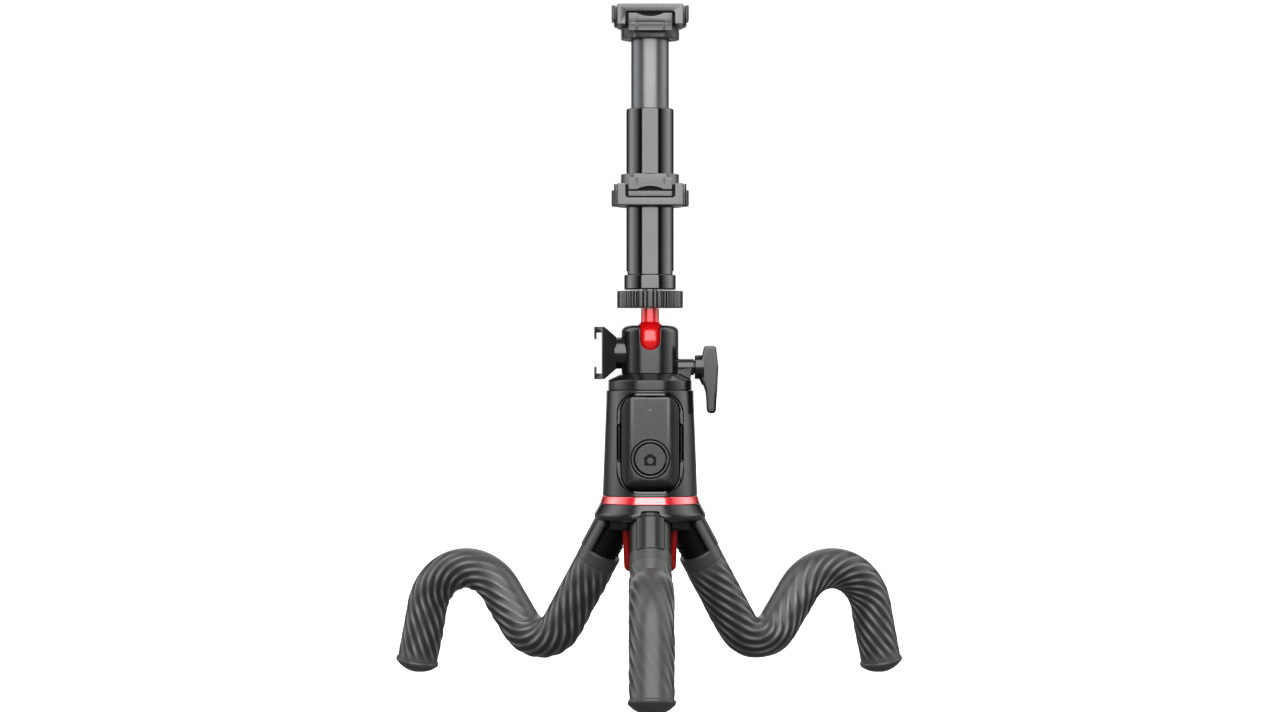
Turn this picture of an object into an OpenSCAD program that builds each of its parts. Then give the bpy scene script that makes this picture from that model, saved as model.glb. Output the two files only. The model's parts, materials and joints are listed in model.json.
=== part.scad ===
// Flexible leg tripod: spring clamp on a ball head, body with a pocketed remote, three bendable legs.
// Millimetres. Z up, floor at z = 0, column axis on the Z axis, front leg towards -Y.
// Every height is stacked on the leg pins, and the pins are set so that the feet stand on the floor.

/* [Legs] */
// lean of a leg's first straight from vertical, degrees
leg_spread = 31.4; // [24:0.2:38]
// hinge pin to the start of the sleeve
socket_length = 25.5; // [22:0.5:32]
// first straight of the sleeve
upper_length = 34.5; // [26:0.5:60]
// bend radius of the low bend
valley_radius = 13.6; // [13:0.2:24]
// climb of the middle straight above horizontal, degrees
rise_angle = 55; // [35:1:65]
// middle straight
middle_length = 18.5; // [12:0.5:40]
// bend radius of the high bend
crest_radius = 22.9; // [16:0.1:34]
// lean of the last straight from vertical, degrees
last_lean = 12.3; // [0:0.1:24]
// last straight, down to the foot
last_length = 26.5; // [20:0.5:60]
// rubber sleeve, outside
sleeve_d = 19.2; // [16:0.2:22]
// soft metal core wire
core_d = 6; // [4:0.5:8]
// knee ball inside a bend, less than the sleeve
knee_d = 18.4; // [14:0.2:20]
// half the bare length at a knee
knee_half_gap = 2.7; // [2:0.1:4]

/* [Feet] */
// rim of the foot cap
foot_d = 20.2; // [17:0.2:26]
// rim height
foot_rim = 2; // [1.5:0.1:4]
// dome below the rim
foot_dome = 4.2; // [3:0.1:8]
// depth worn flat at the floor
foot_flat = 0.5; // [0.2:0.1:1]
// plug in the sleeve, diameter and length
foot_plug_d = 12; // [9:0.5:14]
foot_plug_length = 8; // [5:0.5:14]

/* [Leg socket] */
// socket body
socket_d = 18.7; // [16:0.1:21]
// collar under the sleeve's end
collar_d = 19; // [16:0.1:22]
// collar length
collar_length = 6; // [4:0.5:10]
// pin to the top of the socket body
socket_start = 2.3; // [1.8:0.1:3]
// recessed inner half
recess_d = 14.8; // [13:0.1:15]
// rib down the outer face: width and height
rib_width = 9; // [6:0.5:12]
rib_height = 0.6; // [0.3:0.1:1]
// knuckle round the pin
knuckle_d = 9.2; // [8:0.1:9.6]
// plug in the sleeve, diameter and length
socket_plug_d = 12; // [9:0.5:14]
socket_plug_length = 10.5; // [6:0.5:16]
// hinge pin
pin_d = 3; // [2.5:0.1:4]
// pins from the column axis
pin_radius = 15.35; // [15:0.05:17]
// hinge pin length
pin_length = 29; // [27:0.5:31]

/* [Base] */
// widest part of the skirt beyond the trim ring
skirt_out = 2.5; // [1.6:0.1:4]
// edge of the lower hub plate beyond its screws
plate_edge = 3.2; // [2.8:0.1:3.6]
// hub plate thickness
hub_plate_height = 4; // [3:0.5:6]
// pin to the joint of hub and hub plate
plate_drop = 2; // [1.8:0.1:3]
// pin to the top of the skirt
skirt_rise = 5.6; // [5.4:0.1:8]
// red spider between the folded legs: fin, hub and height
spider_fin = 4.4; // [3:0.1:5]
spider_hub_d = 9.6; // [8.4:0.1:10]
spider_height = 19; // [12:0.5:24]
// spider's fins: their top inside the screws' middles, and how much they taper
spider_in = 2.4; // [2.4:0.1:4]
spider_taper = 1; // [0.4:0.1:2]
// base screws inside the spigot's edge
base_screw_in = 3; // [2.8:0.1:3.6]

/* [Body] */
// trim ring: step out from the body, flare and height
ring_step = 0.3; // [0.1:0.05:0.6]
ring_flare = 1.15; // [0.6:0.05:2]
ring_height = 3.6; // [2:0.1:6]
// body at the bottom, and how much narrower it is at the top
body_bottom_d = 42.6; // [42:0.1:46]
body_taper = 3.4; // [2:0.1:4]
// body below and above the pocket
body_low_rim = 1.65; // [1.5:0.05:6]
body_high_rim = 1.35; // [1:0.05:6]
// shell wall
shell_wall = 2; // [1.6:0.1:2.2]
// shelf that the base screws reach
shelf_height = 3.2; // [2.4:0.1:5]

/* [Remote] */
// remote across, tall and its corner radius
remote_width = 25.8; // [24:0.1:26.4]
remote_height = 42.9; // [38:0.1:43.4]
remote_corner = 7.5; // [4:0.1:9]
// curved front proud of the body, and flat front behind that curve
remote_proud = 1.15; // [0.6:0.05:1.8]
remote_flat_in = 1.7; // [1.2:0.1:2.4]
// flat front to back, and the depth of the back half
remote_thick = 9.4; // [9:0.1:10]
remote_back_depth = 3.5; // [3.2:0.1:3.8]
// case wall
case_wall = 1.5; // [1:0.1:1.8]
// rounding of the lower front edge
remote_chin = 6; // [3:0.5:6.5]
// pocket tray round the remote: at its sides and at its ends
tray_side = 2; // [1.8:0.1:2.4]
tray_end = 1; // [0.8:0.1:2]
// tray floor
tray_floor = 1.6; // [1.2:0.1:2]
// finger slots beside the remote: length and width
finger_length = 17; // [10:0.5:22]
finger_width = 1.2; // [0.8:0.1:1.3]
// button and its ring
button_d = 14; // [10:0.1:14.4]
button_ring_d = 17; // [15.6:0.1:17.4]
// middle of the remote down to the button
button_down = 7.1; // [5:0.1:9]
// button travel
button_travel = 0.6; // [0.3:0.1:0.8]
// middle of the remote up to the light
light_up = 14.7; // [12:0.1:17]

/* [Ball head] */
// ring and cone on top of the body: step in from the body, heights
head_step = 0.75; // [0.4:0.05:1.6]
head_ring_height = 4.5; // [3:0.1:6]
head_cone_height = 3; // [2:0.1:4]
// ball housing
housing_d = 26; // [25:0.1:28]
housing_height = 21.9; // [21.6:0.1:23]
housing_round = 3; // [1:0.1:3.2]
// housing bottom to the ball's centre
ball_up = 15.2; // [15:0.1:15.6]
// ball and its stem
ball_d = 18; // [17:0.1:18.2]
stem_d = 8.2; // [7.8:0.1:8.4]
// split liner round the ball
liner_wall = 0.7; // [0.6:0.1:0.8]
// front slot for the stem
stem_slot = 9.1; // [9:0.1:9.6]
// housing bottom to the locking screw
lock_up = 3; // [2.9:0.1:3.4]
// boss of the locking screw: diameter and reach beyond the head ring
boss_d = 7.5; // [7:0.1:9]
boss_out = 1.15; // [0.8:0.05:2]
// locking screw thread, outside
lock_screw_d = 6; // [5:0.5:6]
// ball centre to the lock wheel
wheel_up = 14.7; // [14.6:0.1:17]

/* [Wing knob] */
// hub diameter and length
knob_hub_d = 11; // [9:0.1:12]
knob_hub_length = 3.1; // [2:0.1:5]
// wing across the axis, front to back
wing_depth = 10; // [7:0.5:14]
// wing above and below the axis
wing_above = 8.9; // [7:0.1:12]
wing_below = 21; // [14:0.1:24]
// wing thickness at the axis and at the tip
wing_thick = 7.6; // [6:0.1:9]
wing_tip = 4.4; // [3:0.1:5]
// rounding of its corners
wing_round = 1.3; // [0.8:0.1:1.4]

/* [Cold shoe] */
// shoe height and length
shoe_height = 23.7; // [22:0.1:26]
shoe_length = 18.6; // [16:0.1:22]
// face of the lips from the axis
shoe_face = 25.3; // [24:0.1:28]
// slot between walls, slot depth and the mouth between the lips
shoe_slot = 18.6; // [18.5:0.05:18.8]
shoe_slot_depth = 2.4; // [2.05:0.05:2.6]
shoe_mouth = 12.5; // [12.4:0.05:12.8]
// lip thickness
shoe_lip = 1; // [0.8:0.1:1.6]
// floor of the slot
shoe_floor = 2; // [1.5:0.1:3]
// ball centre down to the middle of the shoe
shoe_down = 5.8; // [5:0.1:6.2]
// neck that fits round the housing
shoe_neck_d = 14.4; // [12:0.1:15]

/* [Clamp] */
// lock wheel
wheel_d = 30; // [26:0.2:30.4]
wheel_height = 7.7; // [6:0.1:9]
wheel_flutes = 20; // [12:1:28]
// collar of the clamp
clamp_base_d = 23.7; // [23:0.1:26]
clamp_base_height = 6.8; // [6.4:0.1:9]
// post
post_d = 21.8; // [20:0.1:22]
post_length = 75.5; // [70:0.5:80]
post_wall = 2; // [1.5:0.1:2.4]
// inner tube of the sliding jaw
slide_length = 88; // [80:0.5:92]
// clamp base to the lower jaw
jaw_up = 30.8; // [26:0.1:36]
// jaw: half widths of the front, of the set-back sides and of the low wings
jaw_half = 14.8; // [14:0.1:15.4]
side_half = 16.2; // [15.6:0.1:16.8]
wing_half = 17.4; // [17:0.1:20]
// height of the low wings
wing_height = 7; // [5:0.1:8]
// jaw heights
lower_jaw_height = 9.9; // [9:0.1:12]
upper_jaw_height = 9.3; // [9:0.1:12]
// room between the jaws as shown
jaw_gap = 71.2; // [66:0.1:76]
// depth of the gap between the post and the lips
gap_depth = 8.5; // [8:0.1:9]
// window for the rubber pad
window_half = 11; // [9:0.1:12]
window_bar = 3.5; // [3:0.1:4.5]
// pad half width, lip height and lip thickness
pad_half = 10.1; // [8:0.1:10.7]
lip_height = 2.7; // [1.5:0.1:4]
lip_thick = 1.9; // [1.2:0.1:2.2]
// step under the pad's front: its height, its depth and the rise of the arch over it
pad_foot = 3.1; // [1:0.1:4]
pad_step = 1.1; // [0.6:0.1:1.4]
pad_arch = 1.5; // [0.5:0.1:2]
// camera thread stud, quarter inch
stud_d = 6.35; // [6:0.05:6.5]

/* [Clearances] */
// all round between fixed pieces
fit_gap = 0.1; // [0.05:0.05:0.2]
// turning and sliding fits on pins and studs, radial
turn_gap = 0.05; // [0.02:0.01:0.1]
// pressed pins and screws, radial
press_gap = 0.02; // [0:0.01:0.03]
// between surfaces that move past each other
move_gap = 0.3; // [0.2:0.05:0.4]
// each side of a socket in its slot
side_gap = 0.4; // [0.3:0.05:0.6]
// round the spigot in the body
spigot_gap = 0.3; // [0.2:0.05:0.6]

/* [Hidden] */
$fn = 64;
e = 1;
LEGS = [-90, 150, 30];
// leg path in its own plane, from the pin: headings, arc centres, knees and ends
a0 = leg_spread - 90;
a1 = rise_angle;
a2 = last_lean - 90;
valley_mid = (a0 + a1) / 2;
crest_mid = (a1 + a2) / 2;
valley_half = (a1 - a0) / 2;
crest_half = (a1 - a2) / 2;
valley_at = socket_length + upper_length;
function u(a) = [cos(a), sin(a)];
q1 = valley_at * u(a0);
c1 = q1 + valley_radius * u(a0 + 90);
k1 = c1 + valley_radius * u(valley_mid - 90);
q2 = c1 + valley_radius * u(a1 - 90);
q3 = q2 + middle_length * u(a1);
c2 = q3 + crest_radius * u(a1 - 90);
k2 = c2 + crest_radius * u(crest_mid + 90);
q4 = c2 + crest_radius * u(a2 + 90);
q5 = q4 + last_length * u(a2);
sleeve_r = sleeve_d / 2;
core_r = core_d / 2;
knee_r = knee_d / 2;
cup_r = knee_r + move_gap;
dome_edge_r = foot_d / 2 - 0.3;
dome_r = (pow(dome_edge_r, 2) + pow(foot_dome, 2)) / (2 * foot_dome);
dome_at = foot_rim + foot_dome - dome_r;
// sizes that follow from others
tray_width = remote_width + 2 * tray_side;
tray_height = remote_height + 2 * tray_end;
tray_corner = remote_corner + tray_side - 0.1;
body_height = body_low_rim + tray_height + body_high_rim;
body_top_d = body_bottom_d - body_taper;
remote_up = body_low_rim + tray_height / 2;
ring_top_d = body_bottom_d + 2 * ring_step;
ring_bottom_d = ring_top_d + 2 * ring_flare;
head_ring_d = body_top_d - 2 * head_step;
spigot_d = body_bottom_d - 2 * shell_wall - 2 * spigot_gap;
spigot_height = ring_height + body_low_rim - move_gap;
base_screw_radius = spigot_d / 2 - base_screw_in;
skirt_d = ring_bottom_d + 2 * skirt_out;
hub_plate_d = 2 * (base_screw_radius + plate_edge);
spider_top_r = base_screw_radius - spider_in;
spider_bottom_r = spider_top_r - spider_taper;
boss_end = head_ring_d / 2 + boss_out;
// heights
pin_z = dome_r - foot_flat - (q5 + dome_at * u(a2))[1];
plate_z = pin_z - plate_drop;
hub_z = plate_z - hub_plate_height;
skirt_z = pin_z + skirt_rise;
body_z = skirt_z + ring_height;
head_z = body_z + body_height;
housing_z = head_z + head_ring_height + head_cone_height;
ball_z = housing_z + ball_up;
lock_z = housing_z + lock_up;
shoe_z = ball_z - shoe_down;
wheel_z = ball_z + wheel_up;
clamp_z = wheel_z + wheel_height + 0.5;
post_z = clamp_z + clamp_base_height;
jaw_z = post_z + jaw_up;
grip_z = jaw_z + lower_jaw_height;
top_z = grip_z + jaw_gap;
remote_z = body_z + remote_up;
button_z = remote_z - button_down;
light_z = remote_z + light_up;
// base
socket_r = socket_d / 2;
slot_half = socket_r + side_gap;
slot_in = pin_radius - recess_d / 2 - 0.35;
slot_roof = pin_z + knuckle_d / 2 + 0.35;
skirt_wall_r = ring_bottom_d / 2 - 1.4;
spider_z = hub_z - spider_height;
shelf_z = skirt_z + spigot_height + 0.2;
// body
shell_slope = (body_bottom_d - body_top_d) / 2 / body_height;
function shell_r(z) = body_bottom_d / 2 - (z - body_z) * shell_slope;
remote_curve_r = shell_r(remote_z) + remote_proud;
remote_flat_y = remote_curve_r - remote_flat_in;
remote_back_y = remote_flat_y - remote_thick;
remote_split_y = remote_back_y + remote_back_depth;
// head
ball_r = ball_d / 2;
liner_in = ball_r + move_gap;
liner_out = liner_in + liner_wall;
cavity_r = liner_out + move_gap;
lock_r = lock_screw_d / 2;
stud_r = stud_d / 2;
seat_r = 5;
web_end = head_ring_d / 2 - 0.35;
knob_x = boss_end + move_gap;
wing_x = knob_x + knob_hub_length;
// clamp
back_y = post_d / 2 + 0.2;
front_y = back_y + gap_depth;
slide_r = post_d / 2 - post_wall - move_gap;
slide_z = top_z + upper_jaw_height - 2 - slide_length;

// places and plain shapes

// the plane of one leg, X outwards
module leg(azimuth) rotate([0, 0, azimuth]) children();
// origin at the pin, in the leg's plane
module at_pin() translate([pin_radius, 0, pin_z]) children();
// Z along heading a of the leg's plane, from point p
module along(p, a) translate([p[0], 0, p[1]]) rotate([0, 90 - a, 0]) children();
// down the leg from the pin, X on the outer side
module down_leg() at_pin() along([0, 0], a0) rotate([0, 0, 180]) children();
// straight rod from p
module rod(p, a, length, r) along(p, a) cylinder(r = r, h = length);
// bent rod from the origin, setting off along Z and turning towards -X
module turn(radius, angle, r)
  translate([-radius, 0, 0])
    rotate([90, 0, 0])
      rotate_extrude(angle = angle)
        translate([radius, 0])
          circle(r);
// half space past a knee, from d along heading a
module past(p, a, d) along(p, a) translate([-40, -40, d]) cube(80);
// half space before a knee, up to d along heading a
module before(p, a, d) along(p, a) translate([-40, -40, d - 80]) cube(80);
module ball_at(p, r) translate([p[0], 0, p[1]]) sphere(r);
// rounded plate outline
module outline(w, h, r) {
  square([w - 2 * r, h], center = true);
  square([w, h - 2 * r], center = true);
  for (x = [-1, 1], y = [-1, 1])
    translate([x * (w / 2 - r), y * (h / 2 - r)])
      circle(r);
}
// outline facing the front, from depth near to depth far behind the front (both positive towards -Y)
module facing(z, near, far) translate([0, -far, z]) rotate([90, 0, 0]) linear_extrude(near - far) children();
// cylinder along -Y at height z
module front_pin(z, r, near, far) facing(z, near, far) circle(r);
// cylinder along X at height z
module side_pin(z, r, from, to) translate([from, 0, z]) rotate([0, 90, 0]) cylinder(r = r, h = to - from);
// three places between the legs
module between() for (a = LEGS) rotate([0, 0, a + 60]) children();

// base

module base_profile() {
  r = skirt_d / 2;
  polygon([
    [0, plate_z], [r - 1.6, plate_z], [r, plate_z + 1.6], [r, pin_z + 1],
    [ring_bottom_d / 2, skirt_z], [0, skirt_z]
  ]);
  translate([0, skirt_z - e])
    square([spigot_d / 2, spigot_height + e]);
}

module leg_room() {
  for (a = LEGS)
    leg(a) {
      intersection() {
        translate([slot_in, -slot_half, hub_z - e])
          cube([30, 2 * slot_half, slot_roof - hub_z + e]);
        cylinder(r = skirt_wall_r, h = 200);
      }
      at_pin()
        rotate([90, 0, 0])
          cylinder(r = knuckle_d / 2 + move_gap, h = 2 * slot_half, center = true);
      down_leg()
        translate([0, 0, socket_start - move_gap])
          cylinder(r = socket_r + side_gap, h = 40);
    }
}

module pin_groove(width, bottom) {
  for (a = LEGS)
    leg(a)
      at_pin() {
        rotate([90, 0, 0])
          cylinder(r = pin_d / 2 + press_gap, h = pin_length + 0.2, center = true);
        translate([-width / 2, -pin_length / 2 - 0.1, bottom])
          cube([width, pin_length + 0.2, -bottom]);
      }
}

module base_hub() color([0.06, 0.06, 0.07])
  difference() {
    rotate_extrude()
      base_profile();
    translate([0, 0, skirt_z + 1.6])
      cylinder(r = spigot_d / 2 - 1.5, h = spigot_height);
    leg_room();
    pin_groove(pin_d + 2 * press_gap, -plate_drop - e);
    between()
      translate([base_screw_radius, 0, plate_z - e])
        cylinder(r = 1.25 + press_gap, h = 20);
    translate([0, 0, plate_z - e])
      cylinder(r = 2 + press_gap, h = 7);
  }

module hub_plate() color([0.07, 0.07, 0.08])
  difference() {
    union() {
      translate([0, 0, hub_z])
        cylinder(d = hub_plate_d, h = hub_plate_height);
      intersection() {
        for (a = LEGS)
          leg(a)
            translate([pin_radius - pin_d / 2 + 0.1, -pin_length / 2, hub_z + 1])
              cube([pin_d - 0.2, pin_length, pin_z - hub_z - 1]);
        translate([0, 0, hub_z])
          cylinder(d = hub_plate_d + 4, h = 20);
      }
    }
    leg_room();
    for (a = LEGS)
      leg(a)
        at_pin()
          rotate([90, 0, 0])
            cylinder(r = pin_d / 2 + press_gap, h = pin_length + 2, center = true);
    between()
      translate([base_screw_radius, 0, hub_z - e]) {
        cylinder(r = 1.25 + fit_gap, h = 20);
        cylinder(r = 2.4 + fit_gap, h = e + 1.8);
      }
    translate([0, 0, hub_z - e])
      cylinder(r = 2 + fit_gap, h = 20);
  }

module base_screws() color([0.6, 0.6, 0.62])
  between()
    translate([base_screw_radius, 0, hub_z + 0.2]) {
      cylinder(r = 2.4, h = 1.6);
      cylinder(r = 1.25, h = shelf_z + shelf_height - hub_z - 0.8);
    }

module hinge_pins() color([0.7, 0.7, 0.72])
  for (a = LEGS)
    leg(a)
      at_pin()
        rotate([90, 0, 0])
          cylinder(d = pin_d, h = pin_length, center = true);

module leg_spider() color([0.62, 0.04, 0.05])
  difference() {
    intersection() {
      rotate_extrude()
        polygon([
          [0, spider_z], [spider_bottom_r - 1.4, spider_z], [spider_bottom_r, spider_z + 1.6],
          [spider_top_r, hub_z], [0, hub_z]
        ]);
      union() {
        translate([0, 0, spider_z])
          cylinder(d = spider_hub_d, h = spider_height);
        between()
          translate([0, -spider_fin / 2, spider_z])
            cube([spider_top_r + e, spider_fin, spider_height]);
      }
    }
    translate([0, 0, spider_z - e]) {
      cylinder(r = 2 + fit_gap, h = spider_height + 2 * e);
      cylinder(r = 3.5 + fit_gap, h = e + 3.2);
    }
  }

module spider_screw() color([0.6, 0.6, 0.62])
  difference() {
    translate([0, 0, spider_z + 0.4]) {
      cylinder(r = 3.5, h = 2.8);
      cylinder(r = 2, h = pin_z + 3 - spider_z);
    }
    translate([0, 0, spider_z])
      cylinder(r = 1.6, h = 2, $fn = 6);
  }

// body

module trim_ring() color([0.75, 0.03, 0.05])
  rotate_extrude()
    polygon([
      [spigot_d / 2 + fit_gap, skirt_z], [ring_bottom_d / 2, skirt_z], [ring_bottom_d / 2, skirt_z + 0.5],
      [ring_top_d / 2, body_z - 0.4], [ring_top_d / 2, body_z], [spigot_d / 2 + fit_gap, body_z]
    ]);

module shell_cone(grow) {
  translate([0, 0, body_z])
    cylinder(h = body_height, r1 = body_bottom_d / 2 + grow, r2 = body_top_d / 2 + grow);
}

module body_shell() color([0.05, 0.05, 0.06])
  difference() {
    shell_cone(0);
    difference() {
      translate([0, 0, body_z - e])
        cylinder(h = body_height + 2 * e,
                 r1 = shell_r(body_z - e) - shell_wall, r2 = shell_r(head_z + e) - shell_wall);
      translate([0, 0, shelf_z])
        cylinder(r = body_bottom_d / 2, h = shelf_height);
    }
    translate([0, 0, shelf_z - e])
      cylinder(r = 8, h = shelf_height + 2 * e);
    between()
      translate([base_screw_radius, 0, shelf_z - e])
        cylinder(r = 1.25 + press_gap, h = shelf_height + 2 * e);
    facing(remote_z, 30, remote_back_y - tray_floor - 2)
      outline(tray_width + 2 * fit_gap, tray_height + 2 * fit_gap, tray_corner + fit_gap);
  }

module remote_tray() color([0.05, 0.05, 0.06])
  difference() {
    intersection() {
      facing(remote_z, 30, remote_back_y - tray_floor - move_gap)
        outline(tray_width, tray_height, tray_corner);
      shell_cone(0.3);
    }
    facing(remote_z, 31, remote_back_y - move_gap)
      outline(remote_width + 2 * move_gap, remote_height + 2 * move_gap, remote_corner + move_gap);
    for (x = [-1, 1])
      translate([x * (remote_width / 2 + move_gap + finger_width / 2 - 0.2), 0, 0])
        facing(remote_z, 31, 12)
          outline(finger_width + 0.4, finger_length, 0.6);
  }

// remote

module remote_block(inset) {
  intersection() {
    facing(remote_z, 30, 5)
      outline(remote_width - 2 * inset, remote_height - 2 * inset, remote_corner - inset);
    translate([0, 0, remote_z - 40])
      cylinder(r = remote_curve_r - inset, h = 80);
    translate([-20, 0, 0])
      rotate([90, 0, 90])
        linear_extrude(40)
          remote_side(inset);
  }
}

// side view: front edge at -Y, chin and brow rounded
module remote_side(inset) {
  front = -remote_flat_y + inset;
  low = remote_z - remote_height / 2 + inset;
  high = remote_z + remote_height / 2 - inset;
  chin = remote_chin - inset;
  translate([front + chin, low])
    square([20, high - low]);
  translate([front, low + chin])
    square([20, high - low - chin - 1.5]);
  translate([front + 1.5, low + chin])
    square([20, high - low - chin]);
  translate([front + chin, low + chin])
    circle(chin);
  translate([front + 1.5, high - 1.5])
    circle(1.5);
}

module remote_front() color([0.05, 0.05, 0.06])
  difference() {
    union() {
      intersection() {
        remote_block(0);
        translate([-20, -40, remote_z - 40])
          cube([40, 40 - remote_split_y, 80]);
      }
      front_pin(button_z, button_ring_d / 2, remote_flat_y + 0.35, remote_split_y + 3);
    }
    intersection() {
      remote_block(case_wall);
      translate([-20, -40, remote_z - 40])
        cube([40, 40 - remote_split_y + e, 80]);
    }
    front_pin(button_z, button_d / 2 + move_gap, 40, remote_split_y + 1);
    front_pin(button_z, button_ring_d / 2 + 0.2, remote_flat_y - case_wall, remote_split_y - e);
    front_pin(light_z, 0.75 + press_gap, 40, remote_split_y + 1);
  }

module remote_back() color([0.06, 0.06, 0.07])
  difference() {
    facing(remote_z, remote_split_y, remote_back_y)
      outline(remote_width, remote_height, remote_corner);
    facing(remote_z, remote_split_y + e, remote_back_y + 1.1)
      outline(remote_width - 2 * case_wall, remote_height - 2 * case_wall, remote_corner - case_wall);
  }

module remote_button() color([0.07, 0.07, 0.08]) {
  front_pin(button_z, button_d / 2, remote_flat_y + 0.3, remote_flat_y - case_wall - 0.6);
  front_pin(button_z, button_d / 2 + 1, remote_flat_y - case_wall - 0.1, remote_flat_y - case_wall - 1.1);
  front_pin(button_z, 1.5, remote_flat_y - case_wall - 1, remote_split_y + 1.5 + button_travel);
  facing(button_z, remote_flat_y + 0.5, remote_flat_y + 0.2)
    difference() {
      union() {
        square([5.3, 3.4], center = true);
        translate([0, 1.9])
          square([2, 0.9], center = true);
      }
      circle(1.25);
    }
}

module remote_light() color([0.5, 0.55, 0.6])
  front_pin(light_z, 0.75, remote_flat_y + 0.1, remote_split_y + 2.5);

module remote_board() color([0.05, 0.3, 0.12]) {
  facing(remote_z, remote_split_y + 0.9, remote_split_y - 0.1)
    outline(remote_width - 2 * case_wall - 0.6, remote_height - 2 * case_wall - 0.6, remote_corner - case_wall);
  front_pin(button_z, 2.2, remote_split_y + 1.4, remote_split_y + 0.5);
}

module coin_cell() color([0.75, 0.76, 0.78])
  front_pin(remote_z + 6, 8, remote_split_y - 0.15, remote_back_y + 1.2);

// ball head

module head_collar() color([0.06, 0.06, 0.07])
  difference() {
    rotate_extrude()
      polygon([
        [0, head_z - 6], [shell_r(head_z - 6) - shell_wall - 0.25, head_z - 6],
        [shell_r(head_z) - shell_wall - 0.25, head_z], [head_ring_d / 2, head_z],
        [head_ring_d / 2, head_z + head_ring_height], [housing_d / 2, housing_z], [0, housing_z]
      ]);
    translate([0, 0, head_z - 6 - e])
      cylinder(r = 14.5, h = 8 + e);
    facing(remote_z, 30, remote_back_y - tray_floor - 2 * move_gap)
      outline(tray_width + 2 * fit_gap, tray_height + 2 * fit_gap, tray_corner + fit_gap);
    side_pin(lock_z, boss_d / 2 + fit_gap, 0, 30);
    for (a = [60, 180, 300])
      rotate([0, 0, a])
        translate([9.5, 0, head_z])
          cylinder(r = 1.5 + fit_gap, h = 12);
  }

module head_screws() color([0.6, 0.6, 0.62])
  for (a = [60, 180, 300])
    rotate([0, 0, a])
      translate([9.5, 0, head_z]) {
        cylinder(r = 2.7, h = 2);
        cylinder(r = 1.5, h = housing_z - head_z + 5);
      }

module housing_profile() {
  r = housing_d / 2;
  top = housing_z + housing_height;
  translate([0, housing_z])
    square([r, housing_height - housing_round]);
  translate([0, housing_z])
    square([r - housing_round, housing_height]);
  translate([r - housing_round, top - housing_round])
    circle(housing_round);
}

// U slot open to the front and the top
module stem_way(width) {
  front_pin(ball_z, width / 2, 30, 0);
  translate([-width / 2, -30, ball_z])
    cube([width, 30, 30]);
}

// block under the lock boss, down to the head collar's cone
module boss_web() {
  low = head_z + head_ring_height;
  difference() {
    translate([housing_d / 2 - 2, -boss_d / 2, low])
      cube([web_end - housing_d / 2 + 2, boss_d, lock_z - low]);
    rotate_extrude()
      polygon([
        [0, low - e], [head_ring_d / 2 + e, low - e], [head_ring_d / 2 + e, low + fit_gap],
        [head_ring_d / 2, low + fit_gap], [housing_d / 2, housing_z + fit_gap], [0, housing_z + fit_gap]
      ]);
  }
}

module ball_housing() color([0.05, 0.05, 0.06])
  difference() {
    union() {
      rotate_extrude()
        housing_profile();
      side_pin(lock_z, boss_d / 2, 0, boss_end);
      boss_web();
    }
    translate([0, 0, ball_z])
      sphere(cavity_r);
    translate([0, 0, ball_z + 5.5])
      cylinder(r1 = 7.6, r2 = 9, h = 2.6);
    stem_way(stem_slot);
    translate([0, 0, housing_z + 0.8])
      cylinder(r = seat_r + fit_gap, h = 12);
    side_pin(lock_z, lock_r + turn_gap, 0, boss_end + e);
    side_pin(shoe_z, 1.25 + press_gap, -20, 0);
    for (a = [60, 180, 300])
      rotate([0, 0, a])
        translate([9.5, 0, housing_z - e])
          cylinder(r = 1.5 + press_gap, h = 6.2);
  }

module lock_tip(grow) {
  translate([1.5 - grow, 0, lock_z])
    rotate([0, 90, 0])
      cylinder(r1 = 0.5 + grow, r2 = 1.7 + grow, h = 2);
  side_pin(lock_z, 1.7 + grow, 3.5 - grow, 6);
}

module ball_seat() color([0.5, 0.5, 0.52])
  difference() {
    translate([0, 0, housing_z + 1])
      cylinder(r = seat_r, h = 7.6);
    translate([0, 0, ball_z])
      sphere(liner_out + 0.15);
    lock_tip(0.25);
  }

module ball_liner() color([0.75, 0.76, 0.78])
  difference() {
    translate([0, 0, ball_z])
      sphere(liner_out);
    translate([0, 0, ball_z])
      sphere(liner_in);
    translate([-20, -20, ball_z + 5.6])
      cube(40);
    stem_way(stem_d + 1.1);
  }

module ball_stem() color([0.85, 0.03, 0.05])
  difference() {
    union() {
      translate([0, 0, ball_z])
        sphere(ball_r);
      translate([0, 0, ball_z])
        cylinder(d = stem_d, h = wheel_up - 0.3);
    }
    translate([0, 0, ball_z + 3])
      cylinder(r = stud_r + press_gap, h = 30);
  }

module camera_stud() color([0.7, 0.7, 0.72])
  translate([0, 0, ball_z + 3])
    cylinder(r = stud_r, h = clamp_z + clamp_base_height - 2 - ball_z - 3);

module lock_screw() color([0.7, 0.7, 0.72]) {
  lock_tip(0);
  side_pin(lock_z, lock_r, 5.6, wing_x + 2);
}

// wing outline in the XZ plane, axis at the origin
module wing_shape() {
  r = wing_round;
  top_x = wing_thick * 0.9;
  tip_x = wing_thick - 1 - wing_tip;
  polygon([
    [0, 5], [1, wing_above - r], [1 + r, wing_above], [top_x - r, wing_above], [top_x, wing_above - r],
    [wing_thick, -1], [wing_thick - 1, r - wing_below], [wing_thick - 1 - r, -wing_below],
    [tip_x + r, -wing_below], [tip_x, r - wing_below], [tip_x - 0.4, -12.5], [0.9, -8.4], [0.1, -7], [0, -5]
  ]);
  for (corner = [[1 + r, wing_above - r], [top_x - r, wing_above - r],
                 [wing_thick - 1 - r, r - wing_below], [tip_x + r, r - wing_below]])
    translate(corner)
      circle(r);
  // gusset under the hub
  polygon([[0.5, -4], [0.5, -7.7], [-1.2, -5.6], [-2.4, -4.8], [-2.4, -4]]);
}

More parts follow.
